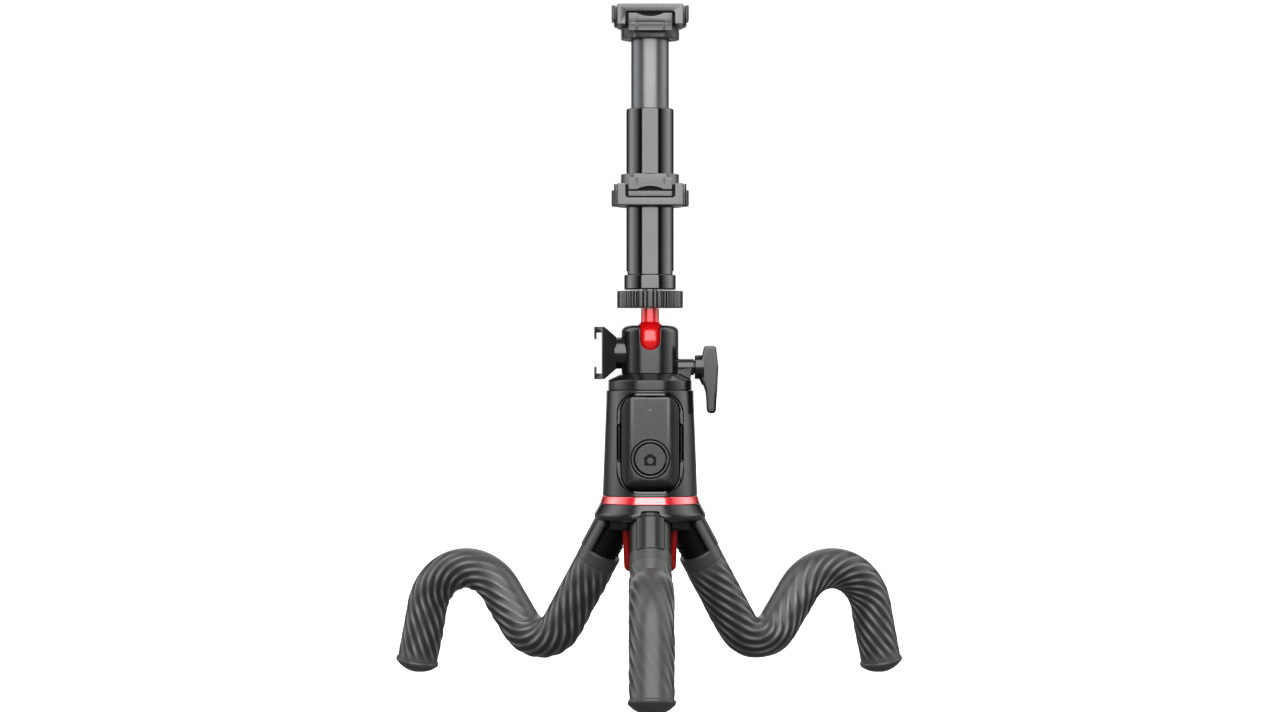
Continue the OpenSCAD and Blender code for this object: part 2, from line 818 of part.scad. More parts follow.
module wing_knob() color([0.06, 0.06, 0.07])
  difference() {
    union() {
      side_pin(lock_z, knob_hub_d / 2, knob_x, wing_x + 1);
      translate([wing_x, wing_depth / 2, lock_z])
        rotate([90, 0, 0])
          linear_extrude(wing_depth)
            wing_shape();
    }
    side_pin(lock_z, lock_r + press_gap, knob_x - e, wing_x + 2);
  }

// cold shoe

module shoe_shape() {
  h = shoe_height / 2;
  floor_x = -shoe_face + shoe_lip + shoe_slot_depth;
  back_x = floor_x + shoe_floor;
  difference() {
    polygon([
      [-shoe_face, -h], [back_x - 0.8, -h], [back_x + 4.6, -shoe_neck_d / 2],
      [back_x + 4.6, shoe_neck_d / 2], [back_x - 0.8, h], [-shoe_face, h]
    ]);
    translate([-shoe_face + shoe_lip, -shoe_slot / 2])
      square([shoe_slot_depth, shoe_slot]);
    translate([-shoe_face - e, -shoe_mouth / 2])
      square([shoe_lip + 2 * e, shoe_mouth]);
  }
}

module cold_shoe() color([0.06, 0.06, 0.07])
  difference() {
    union() {
      translate([0, shoe_length / 2, shoe_z])
        rotate([90, 0, 0])
          linear_extrude(shoe_length)
            shoe_shape();
      side_pin(shoe_z, shoe_neck_d / 2, -18, -9);
    }
    translate([0, 0, housing_z])
      cylinder(r = housing_d / 2 + fit_gap, h = housing_height);
    side_pin(shoe_z, 1.25 + fit_gap, -40, 0);
    translate([-shoe_face + shoe_lip + shoe_slot_depth, 0, shoe_z])
      rotate([0, 90, 0])
        cylinder(r1 = 2.5 + fit_gap, r2 = 1.25 + fit_gap, h = 1.4);
  }

module shoe_screw() color([0.6, 0.6, 0.62])
  translate([-shoe_face + shoe_lip + shoe_slot_depth + 0.15, 0, shoe_z])
    rotate([0, 90, 0]) {
      cylinder(r1 = 2.4, r2 = 1.25, h = 1.2);
      cylinder(r = 1.25, h = 12);
    }

// clamp

module lock_wheel() color([0.06, 0.06, 0.07])
  difference() {
    rotate_extrude()
      polygon([
        [0, wheel_z], [wheel_d / 2 - 0.8, wheel_z], [wheel_d / 2, wheel_z + 0.8],
        [wheel_d / 2, wheel_z + wheel_height - 0.8], [wheel_d / 2 - 0.8, wheel_z + wheel_height],
        [0, wheel_z + wheel_height]
      ]);
    for (i = [0 : wheel_flutes - 1])
      rotate([0, 0, 360 / wheel_flutes * (i + 0.5)])
        translate([wheel_d / 2 + 0.35, 0, wheel_z - e])
          cylinder(r = 1.2, h = wheel_height + 2 * e, $fn = 24);
    translate([0, 0, wheel_z - e])
      cylinder(r = stud_r + turn_gap, h = wheel_height + 2 * e);
  }

module clamp_base() color([0.07, 0.07, 0.08])
  difference() {
    union() {
      translate([0, 0, clamp_z])
        cylinder(d = clamp_base_d, h = clamp_base_height);
      translate([0, 0, post_z - e])
        cylinder(r = slide_r, h = 7);
    }
    translate([0, 0, clamp_z - e])
      cylinder(r = stud_r + turn_gap, h = clamp_base_height - 1.5 + e);
  }

module clamp_post() color([0.06, 0.06, 0.07])
  difference() {
    translate([0, 0, post_z])
      cylinder(d = post_d, h = post_length);
    translate([0, 0, post_z - e])
      cylinder(r = post_d / 2 - post_wall, h = post_length + 2 * e);
    for (x = [-1, 1])
      translate([x * (post_d / 2), 0, post_z + 0.8])
        cube([2.4, 7, 1.8], center = true);
  }

// jaw with its grip face at z = 0, opening upwards, height h below
module jaw(h) {
  difference() {
    union() {
      translate([-jaw_half, -front_y - lip_thick - 0.4, -h])
        cube([2 * jaw_half, front_y + lip_thick + 0.4, h]);
      translate([0, 0, -h])
        cylinder(r = jaw_half, h = h);
      translate([0, 0, -h])
        cylinder(r = post_d / 2 + 2.4, h = h + 5);
      jaw_sides(h);
    }
    translate([-window_half, -40, window_bar - h])
      cube([2 * window_half, 40 - back_y, h]);
    translate([-30, -40, 0])
      cube([60, 40 - back_y, 20]);
  }
}

// set-back sides, wider low down, with chamfered edges
module jaw_sides(h) {
  translate([0, 0, -h])
    linear_extrude(h)
      side_shape(side_half);
  translate([0, 0, -h])
    linear_extrude(wing_height)
      side_shape(wing_half);
}

module side_shape(half)
  polygon([
    [-half, -14.5], [-half + 1.4, -17], [half - 1.4, -17], [half, -14.5],
    [half, -4], [half - 3, 0], [-half + 3, 0], [-half, -4]
  ]);

// rubber pad in the window, with a lip at the front of the gap
module pad(h) {
  difference() {
    union() {
      translate([-pad_half, -front_y - lip_thick, window_bar - h])
        cube([2 * pad_half, front_y + lip_thick - back_y - 0.1, h - window_bar]);
      translate([-pad_half, -front_y - lip_thick, -e])
        cube([2 * pad_half, lip_thick, lip_height + e]);
    }
    translate([-20, -front_y - lip_thick - e, window_bar - h - e])
      cube([40, pad_step + e, pad_foot + e]);
    translate([0, pad_step - front_y - lip_thick, window_bar - h + pad_foot + pad_arch - 10.8])
      rotate([90, 0, 0])
        cylinder(r = 10.8, h = 5);
  }
}

module lower_jaw() color([0.4, 0.4, 0.42])
  difference() {
    translate([0, 0, grip_z])
      jaw(lower_jaw_height);
    translate([0, 0, jaw_z - e])
      cylinder(r = post_d / 2 + fit_gap, h = 40);
  }

module lower_jaw_pad() color([0.5, 0.5, 0.52])
  translate([0, 0, grip_z])
    pad(lower_jaw_height);

module jaw_slide() color([0.55, 0.55, 0.58])
  difference() {
    translate([0, 0, slide_z])
      cylinder(r = slide_r, h = slide_length);
    translate([0, 0, slide_z - e])
      cylinder(r = slide_r - 1.6, h = slide_length - 3);
  }

module upper_jaw() color([0.4, 0.4, 0.42])
  difference() {
    translate([0, 0, top_z])
      mirror([0, 0, 1])
        jaw(upper_jaw_height);
    translate([0, 0, top_z - 10])
      cylinder(r = slide_r + fit_gap, h = upper_jaw_height + 8);
  }

module upper_jaw_pad() color([0.5, 0.5, 0.52])
  translate([0, 0, top_z])
    mirror([0, 0, 1])
      pad(upper_jaw_height);

// legs

module socket() color([0.1, 0.1, 0.11])
  down_leg()
    difference() {
      union() {
        rotate([90, 0, 0])
          cylinder(d = knuckle_d, h = socket_d, center = true);
        intersection() {
          translate([0, 0, socket_start])
            cylinder(r = socket_r, h = socket_length - collar_length - socket_start + e);
          translate([0, -20, 0])
            cube(40);
        }
        translate([0, 0, socket_start])
          cylinder(d = recess_d, h = socket_length - collar_length - socket_start + e);
        for (i = [0 : 2])
          translate([0, 0, socket_length - collar_length - 1.6 - 2 * i])
            cylinder(d = recess_d + 1.6, h = 0.8);
        translate([0, -rib_width / 2, socket_start + 4])
          cube([socket_r + rib_height, rib_width, socket_length - collar_length - socket_start - 4 + e]);
        translate([0, 0, socket_length - collar_length])
          cylinder(d = collar_d, h = collar_length);
        translate([0, 0, socket_start])
          cylinder(d = socket_plug_d, h = socket_length + socket_plug_length - socket_start);
      }
      rotate([90, 0, 0])
        cylinder(r = pin_d / 2 + turn_gap, h = 40, center = true);
      translate([0, 0, socket_length - collar_length - 8])
        cylinder(r = core_r + fit_gap, h = 60);
    }

// sleeve and core paths, each drawn from the end of its straight so that bend and straight share a face
module upper_path(r, from)
  along([0, 0], a0) {
    translate([0, 0, from])
      cylinder(r = r, h = valley_at - from);
    translate([0, 0, valley_at])
      turn(valley_radius, valley_half, r);
  }

module middle_path(r)
  along(q2, a1) {
    rotate([180, 0, 0])
      turn(valley_radius, valley_half, r);
    cylinder(r = r, h = middle_length);
    translate([0, 0, middle_length])
      rotate([0, 0, 180])
        turn(crest_radius, crest_half, r);
  }

module lower_path(r, length)
  along(q4, a2) {
    rotate([180, 0, 180])
      turn(crest_radius, crest_half, r);
    cylinder(r = r, h = length);
  }

module sleeve_upper() color([0.16, 0.16, 0.17])
  at_pin()
    difference() {
      union() {
        difference() {
          upper_path(sleeve_r, socket_length);
          past(k1, valley_mid, -knee_half_gap);
        }
        ball_at(k1, knee_r);
      }
      upper_path(core_r + fit_gap, socket_length - e);
      rod((socket_length - e) * u(a0), a0, socket_plug_length + e + 0.4, socket_plug_d / 2 + fit_gap);
    }

module sleeve_middle() color([0.16, 0.16, 0.17])
  at_pin()
    difference() {
      union() {
        difference() {
          middle_path(sleeve_r);
          past(k2, crest_mid, -knee_half_gap);
        }
        ball_at(k2, knee_r);
      }
      before(k1, valley_mid, knee_half_gap);
      ball_at(k1, cup_r);
      middle_path(core_r + fit_gap);
    }

module sleeve_lower() color([0.16, 0.16, 0.17])
  at_pin()
    difference() {
      lower_path(sleeve_r, last_length);
      before(k2, crest_mid, knee_half_gap);
      ball_at(k2, cup_r);
      lower_path(core_r + fit_gap, last_length + e);
      rod(q5, a2 + 180, foot_plug_length + 0.4, foot_plug_d / 2 + fit_gap);
    }

module core_upper() color([0.72, 0.73, 0.75])
  at_pin()
    upper_path(core_r, socket_length - collar_length - 7.5);

module core_middle() color([0.72, 0.73, 0.75])
  at_pin()
    difference() {
      middle_path(core_r);
      ball_at(k1, cup_r + 0.3);
    }

module core_lower() color([0.72, 0.73, 0.75])
  at_pin()
    difference() {
      lower_path(core_r, last_length - foot_plug_length - 1);
      ball_at(k2, cup_r + 0.3);
    }

module foot() color([0.1, 0.1, 0.11])
  difference() {
    at_pin() {
      rod(q5, a2 + 180, foot_plug_length, foot_plug_d / 2);
      rod(q5, a2, foot_rim, foot_d / 2);
      intersection() {
        ball_at(q5 + dome_at * u(a2), dome_r);
        rod(q5, a2, 20, dome_edge_r);
      }
    }
    translate([pin_radius, -60, -60])
      cube([240, 120, 60]);
  }

module front_socket() leg(LEGS[0]) socket();
module front_core_upper() leg(LEGS[0]) core_upper();
module front_core_middle() leg(LEGS[0]) core_middle();
module front_core_lower() leg(LEGS[0]) core_lower();
module front_sleeve_upper() leg(LEGS[0]) sleeve_upper();
module front_sleeve_middle() leg(LEGS[0]) sleeve_middle();
module front_sleeve_lower() leg(LEGS[0]) sleeve_lower();
module front_foot() leg(LEGS[0]) foot();
module left_socket() leg(LEGS[1]) socket();
module left_core_upper() leg(LEGS[1]) core_upper();
module left_core_middle() leg(LEGS[1]) core_middle();
module left_core_lower() leg(LEGS[1]) core_lower();
module left_sleeve_upper() leg(LEGS[1]) sleeve_upper();
module left_sleeve_middle() leg(LEGS[1]) sleeve_middle();
module left_sleeve_lower() leg(LEGS[1]) sleeve_lower();
module left_foot() leg(LEGS[1]) foot();
module right_socket() leg(LEGS[2]) socket();
module right_core_upper() leg(LEGS[2]) core_upper();
module right_core_middle() leg(LEGS[2]) core_middle();
module right_core_lower() leg(LEGS[2]) core_lower();
module right_sleeve_upper() leg(LEGS[2]) sleeve_upper();
module right_sleeve_middle() leg(LEGS[2]) sleeve_middle();
module right_sleeve_lower() leg(LEGS[2]) sleeve_lower();
module right_foot() leg(LEGS[2]) foot();

base_hub();
hub_plate();
base_screws();
hinge_pins();
leg_spider();
spider_screw();
trim_ring();
body_shell();
remote_tray();
remote_front();
remote_back();
remote_button();
remote_light();
remote_board();
coin_cell();
head_collar();
head_screws();
ball_housing();
ball_seat();
ball_liner();
ball_stem();
camera_stud();
lock_screw();
wing_knob();
cold_shoe();
shoe_screw();
lock_wheel();
clamp_base();
clamp_post();
lower_jaw();
lower_jaw_pad();
jaw_slide();
upper_jaw();
upper_jaw_pad();
front_socket();
front_core_upper();
front_core_middle();
front_core_lower();
front_sleeve_upper();
front_sleeve_middle();
front_sleeve_lower();
front_foot();
left_socket();
left_core_upper();
left_core_middle();
left_core_lower();
left_sleeve_upper();
left_sleeve_middle();
left_sleeve_lower();
left_foot();
right_socket();
right_core_upper();
right_core_middle();
right_core_lower();
right_sleeve_upper();
right_sleeve_middle();
right_sleeve_lower();
right_foot();
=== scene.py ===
# %% [markdown]
# # Flexible leg tripod
# A small tripod: rubber legs that bend, a plastic body with a remote in a pocket, a ball head with
# a red stem, and a clamp on a post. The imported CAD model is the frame. Every piece made here takes
# its place and size from it, so the first cell loads it and keeps its box.

# %% Load the frame
import json
import math

import bpy
from mathutils import Matrix, Vector

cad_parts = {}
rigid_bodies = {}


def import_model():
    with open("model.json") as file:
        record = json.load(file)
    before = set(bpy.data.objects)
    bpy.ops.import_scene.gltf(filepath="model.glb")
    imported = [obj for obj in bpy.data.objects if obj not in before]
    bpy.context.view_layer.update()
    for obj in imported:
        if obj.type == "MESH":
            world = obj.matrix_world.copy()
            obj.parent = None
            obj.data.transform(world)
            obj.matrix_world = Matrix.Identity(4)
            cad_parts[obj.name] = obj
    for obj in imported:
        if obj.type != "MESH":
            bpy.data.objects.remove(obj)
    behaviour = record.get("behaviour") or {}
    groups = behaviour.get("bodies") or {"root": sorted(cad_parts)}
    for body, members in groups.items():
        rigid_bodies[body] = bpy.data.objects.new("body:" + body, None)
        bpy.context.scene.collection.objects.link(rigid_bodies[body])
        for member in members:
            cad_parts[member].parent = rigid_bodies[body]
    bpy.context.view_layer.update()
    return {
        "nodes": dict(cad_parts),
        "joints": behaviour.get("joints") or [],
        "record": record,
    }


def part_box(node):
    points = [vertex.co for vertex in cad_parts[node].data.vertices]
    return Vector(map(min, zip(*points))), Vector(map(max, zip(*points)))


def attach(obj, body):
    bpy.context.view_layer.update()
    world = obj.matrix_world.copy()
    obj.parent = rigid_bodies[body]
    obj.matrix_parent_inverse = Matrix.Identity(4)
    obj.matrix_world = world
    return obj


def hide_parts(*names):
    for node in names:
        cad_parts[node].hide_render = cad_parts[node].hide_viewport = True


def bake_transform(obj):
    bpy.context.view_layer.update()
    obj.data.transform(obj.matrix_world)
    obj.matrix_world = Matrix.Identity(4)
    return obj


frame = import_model()
nodes = frame["nodes"]
joints = {joint["name"]: joint for joint in frame["joints"]}
MM = 0.001

# %% [markdown]
# ## Camera
# The picture was taken level, from far away with a long lens, so upright lines stay upright. The
# camera stands in front of the front leg at about half the tripod's height, and a small sideways
# shift puts the column a little right of the middle, as in the picture.

# %% Camera
PICTURE_WIDTH = 1282
CAMERA_AWAY = 1.50
CAMERA_HEIGHT = 0.1494
METRES_PER_PIXEL = 0.000455
SENSOR = 36.0
CAMERA_LEFT = 0.0093
COLUMN_RIGHT_OF_MIDDLE = 9.0

camera_data = bpy.data.cameras.new("camera")
camera_data.sensor_width = SENSOR
camera_data.lens = SENSOR * CAMERA_AWAY / (METRES_PER_PIXEL * PICTURE_WIDTH)
camera_data.shift_x = (CAMERA_LEFT / METRES_PER_PIXEL - COLUMN_RIGHT_OF_MIDDLE) / PICTURE_WIDTH
camera = bpy.data.objects.new("camera", camera_data)
camera.location = (-CAMERA_LEFT, -CAMERA_AWAY, CAMERA_HEIGHT)
camera.rotation_euler = (math.radians(90), 0, 0)
bpy.context.scene.collection.objects.link(camera)
bpy.context.scene.camera = camera
print("camera: lens", round(camera_data.lens, 1), "mm")

# %% [markdown]
# ## Working by hand, in code
# Each operator acts on whatever is selected, so these helpers first clear the selection. `wire`
# grows a chain of edges from one vertex, as one does with E in edit mode. `lathe` spins such a
# chain round an axis, and `prism` closes it to a face and extrudes that. `soften` rounds the sharp
# edges with a bevel, which is what makes moulded plastic catch the light.

# %% Select and apply
def clear():
    """Leaves edit mode and deselects everything."""
    if bpy.context.object and bpy.context.object.mode == "EDIT":
        bpy.ops.object.mode_set(mode="OBJECT")
    bpy.ops.object.select_all(action="DESELECT")


def pick(piece):
    """Makes a piece the only one selected."""
    clear()
    bpy.context.view_layer.objects.active = piece
    piece.select_set(True)
    return piece


def apply(piece, kind, **values):
    """Adds a modifier and applies it at once."""
    pick(piece)
    modifier = piece.modifiers.new(kind.lower(), kind)
    for key, value in values.items():
        setattr(modifier, key, value)
    bpy.ops.object.modifier_apply(modifier=modifier.name)
    return piece


# %% Draw, spin and extrude
def wire(name, points):
    """A chain of edges through points, in metres, left selected in edit mode."""
    clear()
    bpy.ops.mesh.primitive_plane_add(size=MM)
    piece = bpy.context.object
    piece.name = piece.data.name = name
    bpy.ops.object.mode_set(mode="EDIT")
    bpy.ops.mesh.select_all(action="SELECT")
    bpy.ops.mesh.merge(type="CENTER")
    bpy.ops.transform.translate(value=Vector(points[0]))
    for a, b in zip(points, points[1:]):
        bpy.ops.mesh.extrude_region_move(TRANSFORM_OT_translate={"value": Vector(b) - Vector(a)})
    bpy.ops.mesh.select_all(action="SELECT")
    return piece


def tidy_mesh():
    bpy.ops.mesh.select_all(action="SELECT")
    bpy.ops.mesh.remove_doubles(threshold=1e-6)
    bpy.ops.mesh.normals_make_consistent(inside=False)
    bpy.ops.object.mode_set(mode="OBJECT")


def lathe(name, profile, steps=96):
    """Spins (radius, height) points, in millimetres, round the Z axis."""
    piece = wire(name, [(r * MM, 0, z * MM) for r, z in profile])
    bpy.ops.mesh.spin(steps=steps, angle=2 * math.pi, center=(0, 0, 0), axis=(0, 0, 1))
    tidy_mesh()
    return piece


def prism(name, points, push):
    """Closes a chain of points, in millimetres, to a face and extrudes it by push."""
    piece = wire(name, [Vector(p) * MM for p in points])
    bpy.ops.mesh.edge_face_add()
    bpy.ops.mesh.extrude_region_move(TRANSFORM_OT_translate={"value": Vector(push) * MM})
    tidy_mesh()
    return piece


def rounded(corners, steps=6):
    """Turns (x, y, radius) corners into points, each corner an arc of that radius."""
    points = []
    count = len(corners)
    for i, (x, y, radius) in enumerate(corners):
        here = Vector((x, y))
        before = Vector(corners[i - 1][:2]) - here
        after = Vector(corners[(i + 1) % count][:2]) - here
        if radius <= 0 or before.length == 0 or after.length == 0:
            points.append((x, y))
            continue
        half = before.angle(after) / 2
        reach = radius / math.tan(half)
        middle = here + (before.normalized() + after.normalized()).normalized() * (radius / math.sin(half))
        first = here + before.normalized() * reach - middle
        turn = first.angle_signed(here + after.normalized() * reach - middle)
        for k in range(steps + 1):
            arm = first.copy()
            arm.rotate(Matrix.Rotation(-turn * k / steps, 2))
            points.append(tuple(middle + arm))
    return points


def spun(name, corners, steps=128, arc=6):
    """Spins (radius, height, rounding) corners, in millimetres. An outline off the axis is closed first."""
    outline = rounded(corners, arc)
    if corners[0][0] > 0 or corners[-1][0] > 0:
        outline = outline + outline[:1]
    return lathe(name, outline, steps)


def plate(name, corners, low, high, arc=8):
    """A flat piece: (x, y, rounding) corners, from low to high along its own Z."""
    return prism(name, [(x, y, low) for x, y in rounded(corners, arc)], (0, 0, high - low))


def oblong(width, height, radius=0.0, x=0.0, y=0.0):
    """The corners of a rectangle round (x, y), for plate."""
    signs = ((-1, -1), (1, -1), (1, 1), (-1, 1))
    return [(x + i * width / 2, y + j * height / 2, radius) for i, j in signs]


# %% Round and combine
def soften(piece, width=0.3, segments=2, angle=32, weld=0.02):
    """Bevels every edge sharper than angle. Points closer than weld are merged first."""
    pick(piece)
    bpy.ops.object.mode_set(mode="EDIT")
    bpy.ops.mesh.select_all(action="SELECT")
    bpy.ops.mesh.remove_doubles(threshold=weld * MM)
    bpy.ops.mesh.dissolve_degenerate(threshold=weld * MM)
    bpy.ops.object.mode_set(mode="OBJECT")
    apply(piece, "BEVEL", width=width * MM, segments=segments, limit_method="ANGLE",
          angle_limit=math.radians(angle), use_clamp_overlap=False, miter_outer="MITER_ARC")
    smooth(piece)
    return piece


def smooth(piece, angle=40):
    """Shades a piece smooth up to angle, with large faces kept flat."""
    pick(piece)
    bpy.ops.object.shade_smooth_by_angle(angle=math.radians(angle))
    apply(piece, "WEIGHTED_NORMAL", keep_sharp=True)
    return piece


def combine(piece, other, way):
    apply(piece, "BOOLEAN", object=other, operation=way, solver="EXACT")
    bpy.data.objects.remove(other)
    return piece


def cut(piece, *others):
    for other in others:
        combine(piece, other, "DIFFERENCE")
    return piece


def join(piece, *others):
    for other in others:
        combine(piece, other, "UNION")
    return piece


def keep(piece, *others):
    for other in others:
        combine(piece, other, "INTERSECT")
    return piece


# %% Place and copy
def place(piece, matrix):
    """Moves the mesh itself, so the object stays at the origin."""
    piece.data.transform(matrix)
    return piece


def move(x=0.0, y=0.0, z=0.0):
    return Matrix.Translation(Vector((x, y, z)) * MM)


def spin(degrees, axis="Z"):
    return Matrix.Rotation(math.radians(degrees), 4, axis)


def facing(piece, z):
    """Turns a piece that lies in XY to face the front, with its middle at height z."""
    return place(piece, move(z=z) @ spin(90, "X"))


def sideways(piece, z):
    """Turns a piece's own Z to +X, at height z."""
    return place(piece, move(z=z) @ spin(90, "Y"))


def heights(name):
    """Lowest and highest point of a CAD node, in millimetres."""
    low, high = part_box(name)
    return low[2] / MM, high[2] / MM


def copy_of(piece, name):
    """A copy with its own mesh."""
    twin = piece.copy()
    twin.data = piece.data.copy()
    twin.name = twin.data.name = name
    bpy.context.scene.collection.objects.link(twin)
    return twin


# %% [markdown]
# ## Surface effects
# One effect is shared by all finishes, so it is a shader node group. Moulded grain gives the tiny
# orange-peel height and the slight unevenness of colour and gloss that moulded plastic and rubber
# have. An image could do the same, but noise on Object coordinates needs no file and has no seam.

# %% Node helpers
def socket(tree, name, side, kind="NodeSocketFloat", value=None):
    made = tree.interface.new_socket(name, in_out=side, socket_type=kind)
    if value is not None:
        made.default_value = value


def node(tree, kind, **values):
    made = tree.nodes.new(kind)
    for key, value in values.items():
        if key in made.inputs:
            made.inputs[key].default_value = value
        else:
            setattr(made, key, value)
    return made


def mix_colour(tree, factor, a, b):
    made = tree.nodes.new("ShaderNodeMix")
    made.data_type = "RGBA"
    tree.links.new(factor, made.inputs["Factor"])
    for value, key in ((a, "A"), (b, "B")):
        target = next(s for s in made.inputs if s.name == key and s.type == "RGBA")
        if hasattr(value, "is_output"):
            tree.links.new(value, target)
        else:
            target.default_value = (*value, 1)
    return next(s for s in made.outputs if s.type == "RGBA")


# %% Moulded grain
def make_grain():
    tree = bpy.data.node_groups.new("moulded_grain", "ShaderNodeTree")
    socket(tree, "Colour", "INPUT", "NodeSocketColor")
    socket(tree, "Grain Size", "INPUT", value=2500.0)
    socket(tree, "Unevenness", "INPUT", value=0.15)
    socket(tree, "Gloss", "INPUT", value=0.35)
    socket(tree, "Colour", "OUTPUT", "NodeSocketColor")
    socket(tree, "Roughness", "OUTPUT")
    socket(tree, "Height", "OUTPUT")
    come = tree.nodes.new("NodeGroupInput")
    go = tree.nodes.new("NodeGroupOutput")
    where = tree.nodes.new("ShaderNodeTexCoord")
    fine = node(tree, "ShaderNodeTexNoise", Detail=3.0, Roughness=0.6)
    broad = node(tree, "ShaderNodeTexNoise", Scale=70.0, Detail=4.0)
    link = tree.links.new
    link(where.outputs["Object"], fine.inputs["Vector"])
    link(where.outputs["Object"], broad.inputs["Vector"])
    link(come.outputs["Grain Size"], fine.inputs["Scale"])
    dark = node(tree, "ShaderNodeHueSaturation", Value=0.72)
    link(come.outputs["Colour"], dark.inputs["Color"])
    share = node(tree, "ShaderNodeMath", operation="MULTIPLY")
    link(broad.outputs["Fac"], share.inputs[0])
    link(come.outputs["Unevenness"], share.inputs[1])
    colour = mix_colour(tree, share.outputs[0], come.outputs["Colour"], dark.outputs["Color"])
    link(colour, go.inputs["Colour"])
    swing = node(tree, "ShaderNodeMath", operation="MULTIPLY_ADD")
    link(broad.outputs["Fac"], swing.inputs[0])
    swing.inputs[1].default_value = 0.12
    link(come.outputs["Gloss"], swing.inputs[2])
    speck = node(tree, "ShaderNodeMath", operation="MULTIPLY_ADD")
    link(fine.outputs["Fac"], speck.inputs[0])
    speck.inputs[1].default_value = 0.08
    link(swing.outputs[0], speck.inputs[2])
    lower = node(tree, "ShaderNodeMath", operation="SUBTRACT")
    link(speck.outputs[0], lower.inputs[0])
    lower.inputs[1].default_value = 0.1
    link(lower.outputs[0], go.inputs["Roughness"])
    link(fine.outputs["Fac"], go.inputs["Height"])
    return tree


moulded_grain = make_grain()
print("grain group:", len(moulded_grain.nodes), "nodes")


# %% Finishes
def finish_of(name, colour, gloss, grain=2500.0, depth=0.00001, uneven=0.3, metallic=0.0, coat=0.0,
              specular=0.5, coat_ior=1.5):
    """A Principled material fed by the grain group: colour, roughness and a fine bump."""
    material = bpy.data.materials.new(name)
    material.use_nodes = True
    tree = material.node_tree
    shader = tree.nodes["Principled BSDF"]
    shader.inputs["Metallic"].default_value = metallic
    shader.inputs["Coat Weight"].default_value = coat
    shader.inputs["Coat Roughness"].default_value = 0.08
    shader.inputs["Coat IOR"].default_value = coat_ior
    shader.inputs["Specular IOR Level"].default_value = specular
    group = tree.nodes.new("ShaderNodeGroup")
    group.node_tree = moulded_grain
    group.inputs["Colour"].default_value = (*colour, 1)
    group.inputs["Grain Size"].default_value = grain
    group.inputs["Unevenness"].default_value = uneven
    group.inputs["Gloss"].default_value = gloss
    bump = node(tree, "ShaderNodeBump", Strength=1.0, Distance=depth)
    tree.links.new(group.outputs["Colour"], shader.inputs["Base Color"])
    tree.links.new(group.outputs["Roughness"], shader.inputs["Roughness"])
    tree.links.new(group.outputs["Height"], bump.inputs["Height"])
    tree.links.new(bump.outputs["Normal"], shader.inputs["Normal"])
    return material


def paint_ridge_shade_and_highlight(material, valley, crest):
    """Paints shade into a rubber's ridge valleys and a highlight on its crests, by the height that the mesh
    carries.
    """
    tree = material.node_tree
    group = next(n for n in tree.nodes if n.type == "GROUP")
    height = node(tree, "ShaderNodeAttribute", attribute_name="ridge_height")
    tree.links.new(mix_colour(tree, height.outputs["Fac"], valley, crest), group.inputs["Colour"])
    return material


# Depth of the grain on a polished surface, in metres
POLISHED = 0.000002
BLACK = finish_of("black_satin_plastic", (0.0045, 0.0045, 0.005), 0.2)
PANEL = finish_of("black_fine_plastic", (0.005, 0.005, 0.0055), 0.26)
GLOSS = finish_of("black_gloss_plastic", (0.0025, 0.0025, 0.003), 0.1, depth=POLISHED, coat=0.35)
SOCKET = finish_of("black_socket_plastic", (0.004, 0.004, 0.0045), 0.26, specular=0.4)
DARK = finish_of("dark_matte_plastic", (0.004, 0.004, 0.0045), 0.36, specular=0.3)
# The darkest matte black, on the hub plate and the socket necks, and as painted shade on the plates behind
# the pads.
MATTE_BLACK_AND_SHADE = finish_of("black_matte_plastic", (0.0012, 0.0012, 0.0013), 0.5, specular=0.1)
INK = finish_of("black_ink", (0.0012, 0.0012, 0.0012), 0.5, specular=0.1)
JAW = finish_of("grey_satin_plastic", (0.03, 0.03, 0.031), 0.28, specular=0.85)
PAD = finish_of("grey_rubber", (0.055, 0.055, 0.056), 0.38, depth=0.00003, specular=0.65)
RUBBER_GRAIN = {"grain": 1600.0, "depth": 0.00002, "specular": 0.36}
RUBBER = finish_of("cap_rubber", (0.024, 0.024, 0.025), 0.38, **RUBBER_GRAIN)
LEG_RUBBER = finish_of("leg_rubber", (0.04, 0.04, 0.041), 0.36, **RUBBER_GRAIN)
# Painted shade and highlight: the leg rubber is darkened in the valleys between its ridges and made paler
# on their crests.
paint_ridge_shade_and_highlight(LEG_RUBBER, (0.008, 0.008, 0.0083), (0.115, 0.115, 0.117))
RED = finish_of("red_gloss_plastic", (0.62, 0.018, 0.028), 0.2, depth=POLISHED, metallic=0.5, coat=1.0,
                coat_ior=1.9)
SPIDER_RED = finish_of("red_satin_plastic", (0.17, 0.0006, 0.0006), 0.3, specular=0.08)
STEM_RED = finish_of("red_anodised_metal", (0.62, 0.004, 0.006), 0.24, depth=POLISHED, metallic=0.35,
                     coat=0.4)
STEEL = finish_of("bright_steel", (0.3, 0.3, 0.31), 0.25, metallic=1.0, depth=0.000004)
ALUMINIUM = finish_of("satin_aluminium", (0.12, 0.122, 0.125), 0.34, metallic=1.0, depth=0.000006)
BOARD = finish_of("green_board", (0.01, 0.07, 0.02), 0.4)
LENS = finish_of("smoked_lens", (0.05, 0.05, 0.052), 0.25)
print("finishes:", len(bpy.data.materials))

# %% [markdown]
# ## Finishes on the CAD pieces
# The record says which slot each node takes. A table turns slots into the finishes above. Screws
# that show are black, so they don't glint.

# %% Finishes on the CAD nodes
FINISH = {
    "black_plastic": BLACK, "dark_plastic": DARK, "jaw_plastic": JAW, "jaw_rubber": PAD,
    "leg_rubber": RUBBER, "red_plastic": RED, "red_metal": STEM_RED, "steel": STEEL,
    "aluminium": ALUMINIUM, "board": BOARD, "lens": LENS,
}


def dress(piece, material):
    piece.data.materials.clear()
    piece.data.materials.append(material)
    return piece


for part in frame["record"]["subparts"]:
    dress(nodes[part["node"]], FINISH[part["material_slot"]])
for name in ("base_screws", "spider_screw", "lock_screw", "head_screws"):
    dress(nodes[name], BLACK)
print("dressed:", len(nodes), "nodes")
